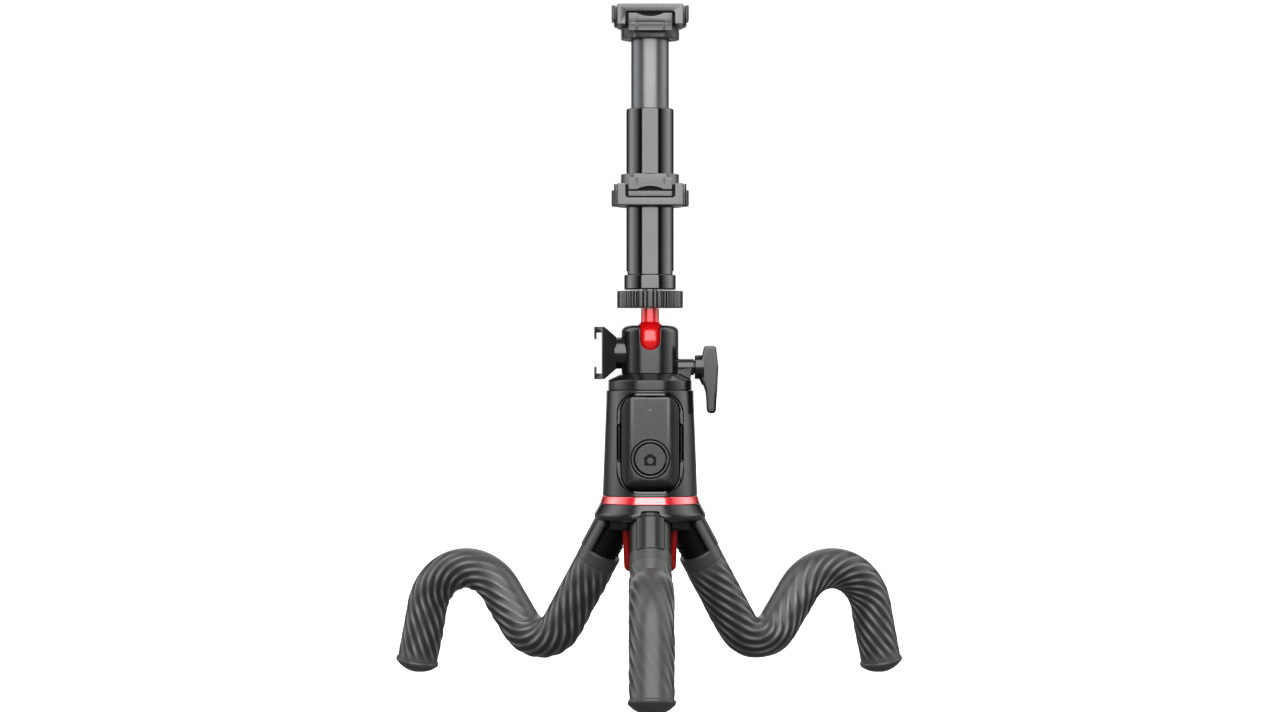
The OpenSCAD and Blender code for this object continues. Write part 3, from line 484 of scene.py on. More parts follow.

# %% [markdown]
# ## How pieces are put on
# A piece made here takes the place of one or more CAD nodes. It rides on the body that they ride
# on, takes the finish it is given, and hides them. A detail such as a printed sign hides nothing and
# only rides along.

# %% Putting pieces on
body_of = {name: body for body, names in frame["record"]["behaviour"]["bodies"].items() for name in names}
made = []
print("bodies:", len(set(body_of.values())))


def detail(piece, material, beside):
    """Puts a piece on that rides with a CAD node and hides nothing."""
    dress(piece, material)
    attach(piece, body_of[beside])
    made.append(piece)
    return piece


def put(piece, material, *names):
    """Puts a piece on that takes the place of CAD nodes."""
    detail(piece, material, names[0])
    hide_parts(*names)
    return piece


def rounded_copy(name, width, material):
    """A merged copy of a CAD node with bevelled edges."""
    piece = copy_of(nodes[name], f"{name}_rounded")
    piece.parent = None
    for key in list(piece.keys()):
        del piece[key]
    pick(piece)
    bpy.ops.mesh.customdata_custom_splitnormals_clear()
    bpy.ops.object.mode_set(mode="EDIT")
    bpy.ops.mesh.select_all(action="SELECT")
    bpy.ops.mesh.remove_doubles(threshold=2e-6)
    bpy.ops.mesh.dissolve_limited(angle_limit=math.radians(0.4))
    bpy.ops.mesh.normals_make_consistent(inside=False)
    bpy.ops.object.mode_set(mode="OBJECT")
    return put(soften(piece, width), material, name)


# %% [markdown]
# ## Skirt, trim ring and spider
# The skirt is a turned form with a mouth in it for each leg. By hand one would spin its outline,
# cut the mouths with cylinders that lie along the legs, and round every edge. The ring over it is a
# plain hoop, and the spider under it and the plate that traps the hinge pins keep their CAD form
# with rounded edges.

# %% Skirt, trim ring and spider
SPREAD = 31.4
LEAN = 12.3
PIN = Vector(joints["front_leg_fold"]["pos_m"]) / MM
TURNS = {"front": 0, "left": 240, "right": 120}
ring_low, ring_high = heights("trim_ring")
RING_LOW_R, RING_HIGH_R, RING_BORE = 22.95, 21.9, 19.2
SKIRT_R = 25.25
MOUTH_R = 9.75


def down_leg(leg):
    """Takes a piece's own Z down the first stretch of a leg, and its own Y to the outside."""
    return spin(TURNS[leg]) @ move(*PIN) @ spin(180 - SPREAD, "X")


skirt = spun("skirt", [
    (0, ring_low, 0), (RING_LOW_R, ring_low, 0.3), (SKIRT_R, PIN.z + 1.3, 2.4),
    (SKIRT_R, PIN.z - 1.1, 1.6), (SKIRT_R - 1.8, PIN.z - 2, 0.5), (0, PIN.z - 2, 0)])
for leg in TURNS:
    room = plate("room", oblong(2 * MOUTH_R, 13.7, 0, 0, -14.45), 60, 81.7)
    mouth = spun("mouth", [(0, 2, 0), (MOUTH_R, 2, 0), (MOUTH_R, 40, 0), (0, 40, 0)], 96)
    cut(skirt, place(room, spin(TURNS[leg])), place(mouth, down_leg(leg)))
put(soften(skirt, 0.35, 3), BLACK, "base_hub")

hoop = spun("trim_hoop", [
    (RING_BORE, ring_low, 0), (RING_LOW_R, ring_low, 0.4), (RING_HIGH_R, ring_high, 0.4),
    (RING_BORE, ring_high, 0)])
put(smooth(hoop), RED, "trim_ring")
rounded_copy("leg_spider", 0.4, SPIDER_RED)
rounded_copy("hub_plate", 0.25, MATTE_BLACK_AND_SHADE)
print("skirt:", len(skirt.data.polygons), "faces")

# %% [markdown]
# ## Body and pocket
# The body is a hollow cone with a rounded window in front, and in the window sits the tray that
# holds the remote. Thin gaps and rounded rims draw the fine lines round it. Two notches at the
# sides let fingers in.

# %% Body and pocket
body_low, body_high = heights("body_shell")
REMOTE_Z = sum(heights("remote_tray")) / 2
LOW_R, HIGH_R, WALL = 21.55, 19.85, 2
TRAY_PROUD = 0.35

shell = spun("body_cone", [
    (LOW_R - WALL, body_low, 0), (LOW_R, body_low, 0.35), (HIGH_R, body_high, 0.5),
    (HIGH_R - WALL, body_high, 0)])
cut(shell, facing(plate("window", oblong(30.1, 45.2, 9.5), 6, 30), REMOTE_Z))
put(soften(shell, 0.3, 3), BLACK, "body_shell")

tray = facing(plate("pocket_tray", oblong(29.4, 44.5, 9.2), 8.6, 30), REMOTE_Z)
keep(tray, spun("cone", [
    (0, body_low, 0), (LOW_R + TRAY_PROUD, body_low, 0), (HIGH_R + TRAY_PROUD, body_high, 0),
    (0, body_high, 0)]))
cut(tray, facing(plate("pocket", oblong(26.8, 43.7, 8), 10.2, 31), REMOTE_Z))
for side in (-1, 1):
    cut(tray, facing(plate("finger", oblong(2.2, 17, 0.8, side * 13.6), 12, 31), REMOTE_Z))
put(soften(tray, 0.55, 4), GLOSS, "remote_tray")
print("body:", len(shell.data.polygons), "faces, tray:", len(tray.data.polygons))

# %% [markdown]
# ## Remote
# A slim case, flat in front with sides that follow the body's curve and a rounded chin. It is what
# three simple forms have in common: a rounded plate, a cylinder and a side view. The button sits in
# a raised ring and has a small printed sign of a camera.

# %% Remote
BUTTON_Z = REMOTE_Z - 7.1
LIGHT_Z = REMOTE_Z + 14.7
FLAT = 19.9
BUTTON_R, WELL_R, RING_R = 7.0, 7.4, 8.48

case = facing(plate("remote_case", oblong(25.8, 42.9, 7.5), 14, 30), REMOTE_Z)
plan = rounded([
    (-13.2, -13, 0), (-13.2, -17.1, 0), (-10.7, -18.76, 12), (-8.4, -FLAT, 6),
    (8.4, -FLAT, 6), (10.7, -18.76, 12), (13.2, -17.1, 0), (13.2, -13, 0)])
keep(case, prism("plan", [(x, y, 70) for x, y in plan], (0, 0, 80)))
side_view = rounded([(9, -21.5, 0), (FLAT, -21.5, 6), (FLAT, 21.5, 1.8), (9, 21.5, 0)], 10)
keep(case, prism("side", [(-20, -y, REMOTE_Z + z) for y, z in side_view], (40, 0, 0)))
groove = spun("groove", [(8.5, FLAT - 0.35, 0), (8.85, FLAT - 0.35, 0), (8.85, 22, 0), (8.5, 22, 0)], 96)
well = spun("well", [(0, 15.5, 0), (WELL_R, 15.5, 0), (WELL_R, 22, 0), (0, 22, 0)], 96)
cut(case, facing(groove, BUTTON_Z), facing(well, BUTTON_Z))
put(soften(case, 0.35, 3), PANEL, "remote_front")

ring = spun("button_ring", [
    (7.42, 18, 0), (RING_R, 18, 0), (RING_R, FLAT + 0.3, 0.4), (7.42, FLAT + 0.3, 0.4)], 96)
detail(smooth(facing(ring, BUTTON_Z)), PANEL, "remote_front")
button = spun("button", [
    (0, 16.6, 0), (BUTTON_R, 16.6, 0), (BUTTON_R, FLAT + 0.28, 0.5), (0, FLAT + 0.2, 0)], 96)
put(smooth(facing(button, BUTTON_Z)), PANEL, "remote_button")
sign = plate("camera_sign", [
    (-2.7, -2.9, 0.6), (2.7, -2.9, 0.6), (2.7, 1.2, 0.6), (1.7, 1.4, 0.1), (1.2, 2.3, 0.3),
    (-1.2, 2.3, 0.3), (-1.7, 1.4, 0.1), (-2.7, 1.2, 0.6)], FLAT, FLAT + 0.34)
cut(sign, place(spun("lens", [(0, 10, 0), (1.45, 10, 0), (1.45, 30, 0), (0, 30, 0)], 48), move(y=-0.6)))
detail(facing(sign, BUTTON_Z), INK, "remote_button")
light = spun("light_lens", [(0, 18, 0), (0.75, 18, 0), (0.75, FLAT + 0.1, 0.2), (0, FLAT + 0.2, 0)], 32)
put(smooth(facing(light, LIGHT_Z)), LENS, "remote_light")
rounded_copy("remote_back", 0.4, BLACK)
print("remote:", len(case.data.polygons), "faces")

# %% [markdown]
# ## Ball head
# A turned collar closes the body. The housing over it is a thick cup with a rounded rim. A ball-
# shaped hollow and a slot down its front let the red stem tip over, and a boss on its right side
# carries the locking screw.

# %% Ball head
collar_low, collar_high = body_high, heights("head_collar")[1]
BALL = Vector(joints["ball_front_tilt"]["pos_m"]) / MM
LOCK_Z = Vector(joints["lock_knob_turn"]["pos_m"]).z / MM
HOUSING_TOP = heights("ball_housing")[1]
BALL_R, STEM_R, FILLET = 9.0, 4.1, 1.6
COLLAR_R, CUP_R, HOLLOW_R, BOSS_R = 19, 13, 10.3, 3.75

collar = spun("head_ring", [
    (0, collar_low, 0), (COLLAR_R, collar_low, 0.4), (COLLAR_R, collar_low + 4.5, 0.6),
    (CUP_R + 0.2, collar_high, 0.3), (0, collar_high, 0)])
put(smooth(collar), BLACK, "head_collar")

cup = spun("ball_cup", [
    (0, collar_high, 0), (CUP_R, collar_high, 0.4), (CUP_R, HOUSING_TOP, 3.2), (0, HOUSING_TOP, 0)], arc=8)
boss = spun("boss", [(0, 5, 0), (BOSS_R, 5, 0), (BOSS_R, 20, 0), (0, 20, 0)], 64)
join(cup, sideways(boss, LOCK_Z))
web = [(11, collar_high), (CUP_R, collar_high), (18.5, collar_low + 4.7), (18.5, LOCK_Z), (11, LOCK_Z)]
join(cup, prism("web", [(x, -3.6, z) for x, z in web], (0, 7.2, 0)))
bends = [math.radians(degrees) for degrees in range(-90, 91, 5)]
hollow = [(HOLLOW_R * math.cos(a), BALL.z + HOLLOW_R * math.sin(a)) for a in bends]
hollow[0], hollow[-1] = (0, BALL.z - HOLLOW_R), (0, BALL.z + HOLLOW_R)
cut(cup, lathe("hollow", hollow, 96))
mouth = [(0, 5, 0), (7.6, 5.5, 0), (9, 8.2, 0), (0, 8.2, 0)]
cut(cup, spun("mouth", [(r, BALL.z + z, turn) for r, z, turn in mouth], 96))
slot = [(-4.55, -4.55, 4.54), (4.55, -4.55, 4.54), (4.55, 20, 0), (-4.55, 20, 0)]
cut(cup, facing(plate("slot", slot, 0, 30, 12), BALL.z))
put(soften(cup, 0.35, 3), BLACK, "ball_housing")

arc_end = math.atan2(math.sqrt((BALL_R + FILLET) ** 2 - (STEM_R + FILLET) ** 2), STEM_R + FILLET)
fillet_z = BALL.z + (BALL_R + FILLET) * math.sin(arc_end)
outline = [(0, BALL.z - BALL_R)]
outline += [(BALL_R * math.cos(a), BALL.z + BALL_R * math.sin(a))
            for a in (-math.pi / 2 + (arc_end + math.pi / 2) * k / 32 for k in range(1, 33))]
outline += [(STEM_R + FILLET - FILLET * math.cos(b), fillet_z - FILLET * math.sin(b))
            for b in (arc_end * (1 - k / 8) for k in range(1, 9))]
outline += [(STEM_R, heights("ball_stem")[1]), (0, heights("ball_stem")[1])]
put(smooth(lathe("ball_and_stem", outline, 96)), STEM_RED, "ball_stem")
dress(nodes["ball_liner"], BLACK)
print("ball head:", len(cup.data.polygons), "faces")

# %% [markdown]
# ## Wing knob and cold shoe
# The knob is a flat wing, thick at its hub and longer below it, with a ribbed grip. The shoe on the
# other side is a channel with two lips. Behind the channel it narrows to a round neck that fits the
# housing.

# %% Wing knob
knob_low, knob_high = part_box("wing_knob")
KNOB_X = knob_low[0] / MM
WING_X = KNOB_X + 3.1
HUB_R = 5.5
RIBS, RIB_PITCH = 7, 1.2
wing_outline = rounded([
    (0.1, 4.6, 1), (1.2, 9.6, 1.2), (6.5, 9.6, 1.4), (7.6, 0, 12), (6.5, -21.1, 1.8),
    (2.4, -21.1, 1.8), (2, -11.5, 8), (0.1, -6.2, 4)], 6)
wing = prism("wing", [(WING_X + x, -4.5, LOCK_Z + z) for x, z in wing_outline], (0, 9, 0))
pick(wing)
bpy.ops.object.mode_set(mode="EDIT")
bpy.ops.mesh.select_mode(type="FACE")
bpy.ops.mesh.select_all(action="DESELECT")
bpy.ops.object.mode_set(mode="OBJECT")
for face in wing.data.polygons:
    face.select = abs(face.normal.y) > 0.9
bpy.ops.object.mode_set(mode="EDIT")
bpy.ops.mesh.inset(thickness=1.1 * MM, depth=0.5 * MM)
bpy.ops.mesh.select_mode(type="VERT")
bpy.ops.object.mode_set(mode="OBJECT")
soften(wing, 0.2, 2)
hub = spun("hub", [(0, KNOB_X, 0), (HUB_R, KNOB_X, 0.6), (HUB_R, WING_X + 1, 0), (0, WING_X + 1, 0)], 64)
web = [(-1.6, -4), (2, -4), (2, -9), (0.2, -8)]
join(wing, sideways(hub, LOCK_Z))
join(wing, prism("web", [(WING_X + x, -3, LOCK_Z + z) for x, z in web], (0, 6, 0)))
for side in (-1, 1):
    for k in range(RIBS):
        at = LOCK_Z - 11 - RIB_PITCH * k
        rib = plate("rib", oblong(2.4 - 0.1 * k, 0.6, 0.25, WING_X + 4.7, at), 4.7, 5.3, 3)
        join(wing, place(rib, Matrix.Scale(-side, 4, (0, 1, 0)) @ spin(90, "X")))
put(smooth(wing), BLACK, "wing_knob")
print("knob:", len(wing.data.polygons), "faces")

# %% Cold shoe
LIP, ROOM, FLOOR_AT = 6.25, 9.3, 3.4
shoe_low, shoe_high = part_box("cold_shoe")
SHOE_X = shoe_low[0] / MM
SHOE_Z = (shoe_low[2] + shoe_high[2]) / 2 / MM
HALF = (shoe_high[2] - shoe_low[2]) / 2 / MM
REACH = (shoe_high[1] - shoe_low[1]) / 2 / MM
shoe_outline = [
    (0, -HALF), (4.6, -HALF), (10, -7.2), (10, 7.2), (4.6, HALF), (0, HALF), (0, LIP), (1, LIP), (1, ROOM),
    (FLOOR_AT, ROOM), (FLOOR_AT, -ROOM), (1, -ROOM), (1, -LIP), (0, -LIP)]
shoe = prism("shoe", [(SHOE_X + x, -REACH, SHOE_Z + z) for x, z in shoe_outline], (0, 2 * REACH, 0))
for side in (-1, 1):
    for x, y, far_x, far_y in ((3.9, 0, 11, 3.2), (-1, 1.7, FLOOR_AT, 0)):
        wedge = [(x, REACH - y), (far_x, REACH - far_y), (far_x, 14), (x, 14)]
        cut(shoe, prism("wedge", [(SHOE_X + x, side * y, 120) for x, y in wedge], (0, 0, 60)))
seat = spun("seat", [(0, 130, 0), (13.05, 130, 0), (13.05, 175, 0), (0, 175, 0)])
neck = spun("shoe_neck", [(0, SHOE_X + 9, 0), (7.2, SHOE_X + 9, 0.3), (7.2, -9, 0), (0, -9, 0)], 96)
detail(smooth(cut(sideways(neck, SHOE_Z), seat)), BLACK, "cold_shoe")
put(soften(shoe, 0.3, 3), BLACK, "cold_shoe")
print("shoe:", len(shoe.data.polygons), "faces")

# %% [markdown]
# ## Lock wheel, clamp collar, post and inner tube
# Turned forms again. The wheel's edge has flutes for the fingers, so its outline is drawn as a ring
# of lands and grooves and then extruded. The inner tube shows between the jaws and slides in the
# post.

# %% Lock wheel, collar, post and inner tube
wheel_low, wheel_high = heights("lock_wheel")
FLUTES, LAND_R, GROOVE_R = 20, 15, 13.7
rim = []
for k in range(FLUTES):
    for degrees, radius in ((-4.4, LAND_R), (0, LAND_R), (4.4, LAND_R), (6.2, GROOVE_R), (11.8, GROOVE_R)):
        turn = math.radians(360 / FLUTES * k + degrees)
        rim.append((radius * math.cos(turn), radius * math.sin(turn), wheel_low))
wheel = prism("fluted_wheel", rim, (0, 0, wheel_high - wheel_low))
put(soften(wheel, 0.4, 3, 25), BLACK, "lock_wheel")

base_low = heights("clamp_base")[0]
post_low, post_high = heights("clamp_post")
BASE_R, POST_R, TUBE_R = 11.85, 10.9, 8.6
base = spun("clamp_collar", [
    (0, base_low, 0), (BASE_R, base_low, 0.7), (BASE_R, post_low, 0.5), (0, post_low, 0)])
put(smooth(base), GLOSS, "clamp_base")

post = spun("post", [
    (8.9, post_low, 0), (POST_R, post_low, 0.3), (POST_R, post_high, 0.7), (8.9, post_high, 0.4)])
for side in (-1, 1):
    cut(post, place(plate("chip", oblong(2.4, 7, 0.3), 0, 1.8), move(side * POST_R, 0, post_low - 0.1)))
put(soften(post, 0.2, 2), GLOSS, "clamp_post")

tube_low, tube_high = heights("jaw_slide")
inner = spun("inner_tube", [
    (7, tube_low, 0), (TUBE_R, tube_low, 0.2), (TUBE_R, tube_high, 0.2), (7, tube_high, 0)])
put(smooth(inner), ALUMINIUM, "jaw_slide")
print("wheel:", len(wheel.data.polygons), "faces")

# %% [markdown]
# ## Jaws and pads
# Both jaws are the same form, the upper one upside down: a block with set-back sides, a ring round
# the tube, and a window for the rubber pad. Each pad has an arch cut in its face and a lip with two
# small notches. The lower pad also has a set-back strip below its arch.
# Behind each pad sits a dark plate, which is painted shade for the gaps round the pad.

# %% Jaws and pads
LOW_JAW, HIGH_JAW = 9.9, 9.3
GRIP = heights("lower_jaw")[0] + LOW_JAW
TOP = heights("upper_jaw")[1] - HIGH_JAW
BACK = 11.1
ARCH_R, ARCH_RISE = 13, 1.9
NOTCH_X = 6.1


def jaw(name, height, bore):
    """A jaw with its grip face at height 0 and its body below."""
    def side(half, top):
        corners = [(-half, -14.5), (-half + 1.4, -17), (half - 1.4, -17), (half, -14.5), (half, -4),
                   (half - 3, 0), (-half + 3, 0), (-half, -4)]
        return prism("side", [(x, y, -height) for x, y in corners], (0, 0, top + height))

    piece = plate(name, oblong(29.6, 21.9, 0, 0, -10.95), -height, 0)
    join(piece, side(16.2, 0), side(17.4, 7 - height))
    join(piece, spun("ring", [(0, -height, 0), (14.8, -height, 0), (14.8, 0, 0), (0, 0, 0)], 96))
    join(piece, spun("sleeve", [(0, -height, 0), (13.3, -height, 0), (13.3, 5, 0), (0, 5, 0)], 96))
    cut(piece, plate("gap", oblong(60, 40, 0, 0, -20 - BACK), 0, 20))
    window = plate("window", oblong(22, 20, 1.2, 0, 13.5 - height), BACK, 40)
    cut(piece, place(window, spin(90, "X")))
    cut(piece, spun("bore", [(0, -40, 0), (bore, -40, 0), (bore, 40, 0), (0, 40, 0)], 96))
    for x in (-15.45, 15.45):
        cut(piece, plate("groove", oblong(1.3, 6, 0, x, -16), -40, 40))
    return soften(piece, 0.45, 3)


def pad(name, height, ledge, notch):
    """A pad with a strip of height ledge outside its arch. Its two notches start at notch."""
    low = 4.1 - height
    piece = plate(name, oblong(19.6, 10.2, 0, 0, -16.4), low, 0)
    join(piece, plate("lip", oblong(19.6, 1.9, 0, 0, -20.55), -1, 2.7))
    if ledge > 0:
        cut(piece, plate("step", oblong(40, 3, 0, 0, -21.9), low - 1, low + ledge))
        cut(piece, plate("line", oblong(40, 6, 0, 0, -21), low + ledge - 0.1, low + ledge + 0.45))
    else:
        cut(piece, plate("line", oblong(13, 1.2, 0, 0, -21.4), notch, notch + 0.5))
    arch = spun("arch", [(0, 18, 0), (ARCH_R, 18, 0), (ARCH_R, 26, 0), (0, 26, 0)], 128)
    place(arch, move(z=low + ledge + ARCH_RISE - ARCH_R) @ spin(90, "X"))
    cut(piece, keep(arch, plate("above", oblong(40, 40, 0, 0, -20), low + ledge, low + 9)))
    for x in (-NOTCH_X, NOTCH_X):
        cut(piece, plate("notch", oblong(0.8, 1.2, 0, x, -21.4), notch, 4))
    return soften(piece, 0.25, 2)


def pad_shade_plate(name, height):
    """A dark plate behind a pad. It is painted shade that shows in the gaps round the pad."""
    return plate(name, oblong(21.8, 0.6, 0, 0, -19.2), 3.6 - height, -0.6)


# %% Put the jaws on
put(place(jaw("jaw_low", LOW_JAW, 11), move(z=GRIP)), JAW, "lower_jaw")
put(place(pad("pad_low", LOW_JAW, 2.5, -0.4), move(z=GRIP)), PAD, "lower_jaw_pad")
# The dark plate behind the pad is painted shade in the gaps round it.
detail(place(pad_shade_plate("pad_shade_plate_low", LOW_JAW), move(z=GRIP)), MATTE_BLACK_AND_SHADE, "lower_jaw_pad")
high_pieces = [
    jaw("jaw_high", HIGH_JAW, 8.7),
    pad("pad_high", HIGH_JAW, -0.4, -1.4),
    pad_shade_plate("pad_shade_plate_high", HIGH_JAW)]
for piece in high_pieces:
    place(piece, move(z=TOP) @ Matrix.Scale(-1, 4, (0, 0, 1)))
    piece.data.flip_normals()
put(high_pieces[0], JAW, "upper_jaw")
put(high_pieces[1], PAD, "upper_jaw_pad")
detail(high_pieces[2], MATTE_BLACK_AND_SHADE, "upper_jaw_pad")
print("jaws and pads:", len(high_pieces) * 2)

# %% [markdown]
# ## Sockets and feet
# A socket hinges each leg on the skirt. Its outer half is full, with a rounded rib down its middle.
# Its inner half is a thinner neck with three rings, and a collar at its end takes the sleeve. The
# feet are round rubber caps, worn flat where they stand.

# %% Sockets and feet
FOOT = Vector((0, -126.749, 5.868))
DOME_R = 13.53
SOCKET_R, RIB_R, NECK_R = 9.35, 9.95, 7.4


def socket_neck():
    piece = spun("neck", [(0, 2.3, 0), (NECK_R, 2.3, 0.3), (NECK_R, 20.2, 0), (0, 20.2, 0)], 96)
    for k in range(3):
        z = 17.4 - 2 * k
        join(piece, spun("ring", [(0, z, 0), (8, z, 0.2), (8, z + 0.8, 0.2), (0, z + 0.8, 0)], 96))
    knuckle = spun("knuckle", [(0, -9.35, 0), (4.6, -9.35, 0.4), (4.6, 9.35, 0.4), (0, 9.35, 0)], 64)
    return smooth(join(piece, place(knuckle, spin(90, "Y"))))


def socket_front():
    piece = spun("half", [(0, 2.35, 0), (SOCKET_R, 2.35, 0), (SOCKET_R, 20.4, 0), (0, 20.4, 0)], 128)
    rib = spun("rib", [(0, 4.5, 0), (RIB_R, 4.5, 0), (RIB_R, 20.8, 0), (0, 20.8, 0)], 128)
    join(piece, keep(rib, plate("strip", oblong(12.4, 20, 0, 0, 14), 0, 40)))
    keep(piece, plate("outer", oblong(40, 20, 0, 0, 10.01), 0, 40))
    return soften(piece, 0.45, 3, 28)


def socket_collar():
    return smooth(spun("collar", [(0, 19.4, 0), (9.5, 19.4, 0.7), (9.5, 25.6, 0.4), (0, 25.6, 0)], 96))


def foot_piece(name):
    """A cap with a plug, a rounded rim and a domed end, pointing along its own Z."""
    turns = [math.radians(45 * (1 - k / 14)) for k in range(15)]
    dome = [(DOME_R * math.sin(t), DOME_R * math.cos(t) - 7.33) for t in turns]
    dome[-1] = (0, DOME_R - 7.33)
    rim = [(9.5, -0.1), (9.95, 0.1), (10.15, 0.6), (10.15, 1.3), (9.95, 1.9)]
    return smooth(lathe(name, [(0, -6), (6, -6), (6, -0.1)] + rim + dome, 96), 50)


# %% Put sockets and feet on
first_socket = [(socket_front(), SOCKET), (socket_neck(), MATTE_BLACK_AND_SHADE), (socket_collar(), RUBBER)]
first_foot = foot_piece("front_foot_cap")
place(first_foot, move(*FOOT) @ spin(180 - LEAN, "X"))
pick(first_foot)
bpy.ops.object.mode_set(mode="EDIT")
bpy.ops.mesh.select_all(action="SELECT")
bpy.ops.mesh.bisect(plane_co=(0, 0, 0.00001), plane_no=(0, 0, 1), clear_inner=True, use_fill=True)
bpy.ops.object.mode_set(mode="OBJECT")
for leg, degrees in TURNS.items():
    for piece, material in first_socket:
        part = place(copy_of(piece, f"{leg}_socket_{piece.name}"), down_leg(leg))
        detail(part, material, f"{leg}_socket")
    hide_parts(f"{leg}_socket")
    cap = copy_of(first_foot, f"{leg}_leg_foot")
    put(place(cap, spin(degrees)), RUBBER, f"{leg}_foot")
for piece, material in first_socket:
    bpy.data.objects.remove(piece)
bpy.data.objects.remove(first_foot)
print("pieces put on:", len(made))

# %% [markdown]
# ## Rubber legs
# Each leg is a soft tube over a bendable wire, with slanting ridges that wind round it. By hand one
# would model a straight fluted tube, twist it, and lay it along a curve. That is what happens here:
# a circle is extruded to a tube, its rings are pressed into winding ridges, it is cut in the middle
# of its middle stretch, and a Curve modifier lays both halves along the leg. The halves meet where
# the leg stays straight.

# %% Leg path
RISE = 55.0
SOCKET_LENGTH, UPPER, MIDDLE, LAST = 25.5, 34.5, 18.5, 26.5
VALLEY_RADIUS, CREST_RADIUS = 13.6, 22.9
SLEEVE_RADIUS = 9.6
heading = {"upper": SPREAD - 90, "middle": RISE, "last": LEAN - 90}


def leg_path(step=0.5):
    """Points down the front leg's middle, in metres, from the sleeve's start to the foot."""
    place_now = Vector((-PIN.y, PIN.z))
    angle = heading["upper"]

    def ahead(length, bend=0.0):
        nonlocal place_now, angle
        count = max(2, round(length / step))
        for _ in range(count):
            angle += bend / count / 2
            way = Vector((math.cos(math.radians(angle)), math.sin(math.radians(angle))))
            chord = length / count
            if bend:
                swing = math.radians(abs(bend)) / count / 2
                chord *= math.sin(swing) / swing
            place_now = place_now + way * chord
            angle += bend / count / 2
            points.append(place_now)

    points = []
    ahead(SOCKET_LENGTH)
    points = [place_now]
    ahead(UPPER)
    bend = heading["middle"] - heading["upper"]
    ahead(VALLEY_RADIUS * math.radians(bend), bend)
    ahead(MIDDLE)
    bend = heading["last"] - heading["middle"]
    ahead(CREST_RADIUS * math.radians(-bend), bend)
    ahead(LAST)
    return [Vector((0, -p.x * MM, p.y * MM)) for p in points]


path_points = leg_path()
leg_length = sum((b - a).length for a, b in zip(path_points, path_points[1:]))
valley_length = VALLEY_RADIUS * math.radians(heading["middle"] - heading["upper"])
half_at = (UPPER + valley_length + MIDDLE / 2) * MM
print("leg: sleeve", round(leg_length / MM, 1), "mm, halves meet at", round(half_at / MM, 1), "mm")

# %% Ridged tube
AROUND = 144
RINGS = 176
RIDGES = 14
RIDGE_LEAD = 104.0
RIDGE_HEIGHT = 0.55


def ridge(angle, along):
    """Height of the ridges, 0 to 1, at an angle round the tube and a distance in millimetres down it."""
    phase = RIDGES * (angle + 2 * math.pi * along / RIDGE_LEAD)
    wave = (0.5 + 0.5 * math.cos(phase + 0.4 * math.sin(phase))) ** 1.8
    swell = 0.72 + 0.28 * math.cos(5 * angle - 2 * math.pi * along / 23)
    off_spine = math.degrees(abs(math.remainder(angle - math.pi / 2, 2 * math.pi)))
    share = min(1.0, max(0.0, (off_spine - 20) / 48))
    spine = 0.08 + 0.92 * share * share * (3 - 2 * share)
    ends = max(0.0, min(1.0, along / 6.0, (leg_length / MM - along) / 5.0))
    return 0.24 + (wave * swell - 0.24) * spine * ends


clear()
bpy.ops.mesh.primitive_circle_add(vertices=AROUND, radius=SLEEVE_RADIUS * MM)
tube = bpy.context.object
bpy.ops.object.mode_set(mode="EDIT")
bpy.ops.mesh.select_all(action="SELECT")
for _ in range(RINGS):
    bpy.ops.mesh.extrude_region_move(TRANSFORM_OT_translate={"value": (0, 0, leg_length / RINGS)})
bpy.ops.mesh.select_all(action="SELECT")
bpy.ops.mesh.normals_make_consistent(inside=False)
bpy.ops.object.mode_set(mode="OBJECT")
# The ridge height is kept on the mesh, and the leg rubber reads it to paint shade in the valleys and a
# highlight on the crests.
crest = tube.data.attributes.new("ridge_height", "FLOAT", "POINT")
for i, vertex in enumerate(tube.data.vertices):
    turn = math.atan2(vertex.co.y, vertex.co.x)
    lift = ridge(turn, vertex.co.z / MM)
    crest.data[i].value = lift
    radius = (SLEEVE_RADIUS - 0.28 + RIDGE_HEIGHT * lift) * MM
    vertex.co.x, vertex.co.y = radius * math.cos(turn), radius * math.sin(turn)
print("ridged tube:", len(tube.data.polygons), "faces")

# %% Lay the halves along the leg
route = bpy.data.curves.new("leg_route", "CURVE")
route.dimensions = "3D"
line = route.splines.new("POLY")
line.points.add(len(path_points) - 1)
for knot, point in zip(line.points, path_points):
    knot.co = (*point, 1)
leg_route = bpy.data.objects.new("leg_route", route)
bpy.context.scene.collection.objects.link(leg_route)
seam = round(half_at / (leg_length / RINGS)) * leg_length / RINGS


def half_leg(name, keep_top):
    """One half of the tube, laid along the leg."""
    half = copy_of(tube, name)
    pick(half)
    bpy.ops.object.mode_set(mode="EDIT")
    bpy.ops.mesh.select_all(action="SELECT")
    bpy.ops.mesh.bisect(plane_co=(0, 0, seam), plane_no=(0, 0, 1), clear_outer=keep_top,
                        clear_inner=not keep_top)
    bpy.ops.object.mode_set(mode="OBJECT")
    apply(half, "CURVE", object=leg_route, deform_axis="POS_Z")
    pick(half)
    bpy.ops.object.shade_smooth()
    return half


def share_normals(a, b):
    """Gives the rims of two halves the same normals, so that light runs on over the joint."""
    meshes = [a.data, b.data]
    normals = [[v.normal.copy() for v in mesh.vertices] for mesh in meshes]
    rims = [{tuple(round(c / 2e-6) for c in v.co): v.index for v in mesh.vertices} for mesh in meshes]
    shared = set(rims[0]) & set(rims[1])
    for key in shared:
        i, j = rims[0][key], rims[1][key]
        mean = (normals[0][i] + normals[1][j]).normalized()
        normals[0][i] = normals[1][j] = mean
    for mesh, values in zip(meshes, normals):
        mesh.normals_split_custom_set_from_vertices(values)
    return len(shared)


upper_half = half_leg("front_leg_sleeve_upper", True)
lower_half = half_leg("front_leg_sleeve_lower", False)
bpy.data.objects.remove(tube)
bpy.data.objects.remove(leg_route)
print("rim vertices shared:", share_normals(upper_half, lower_half))

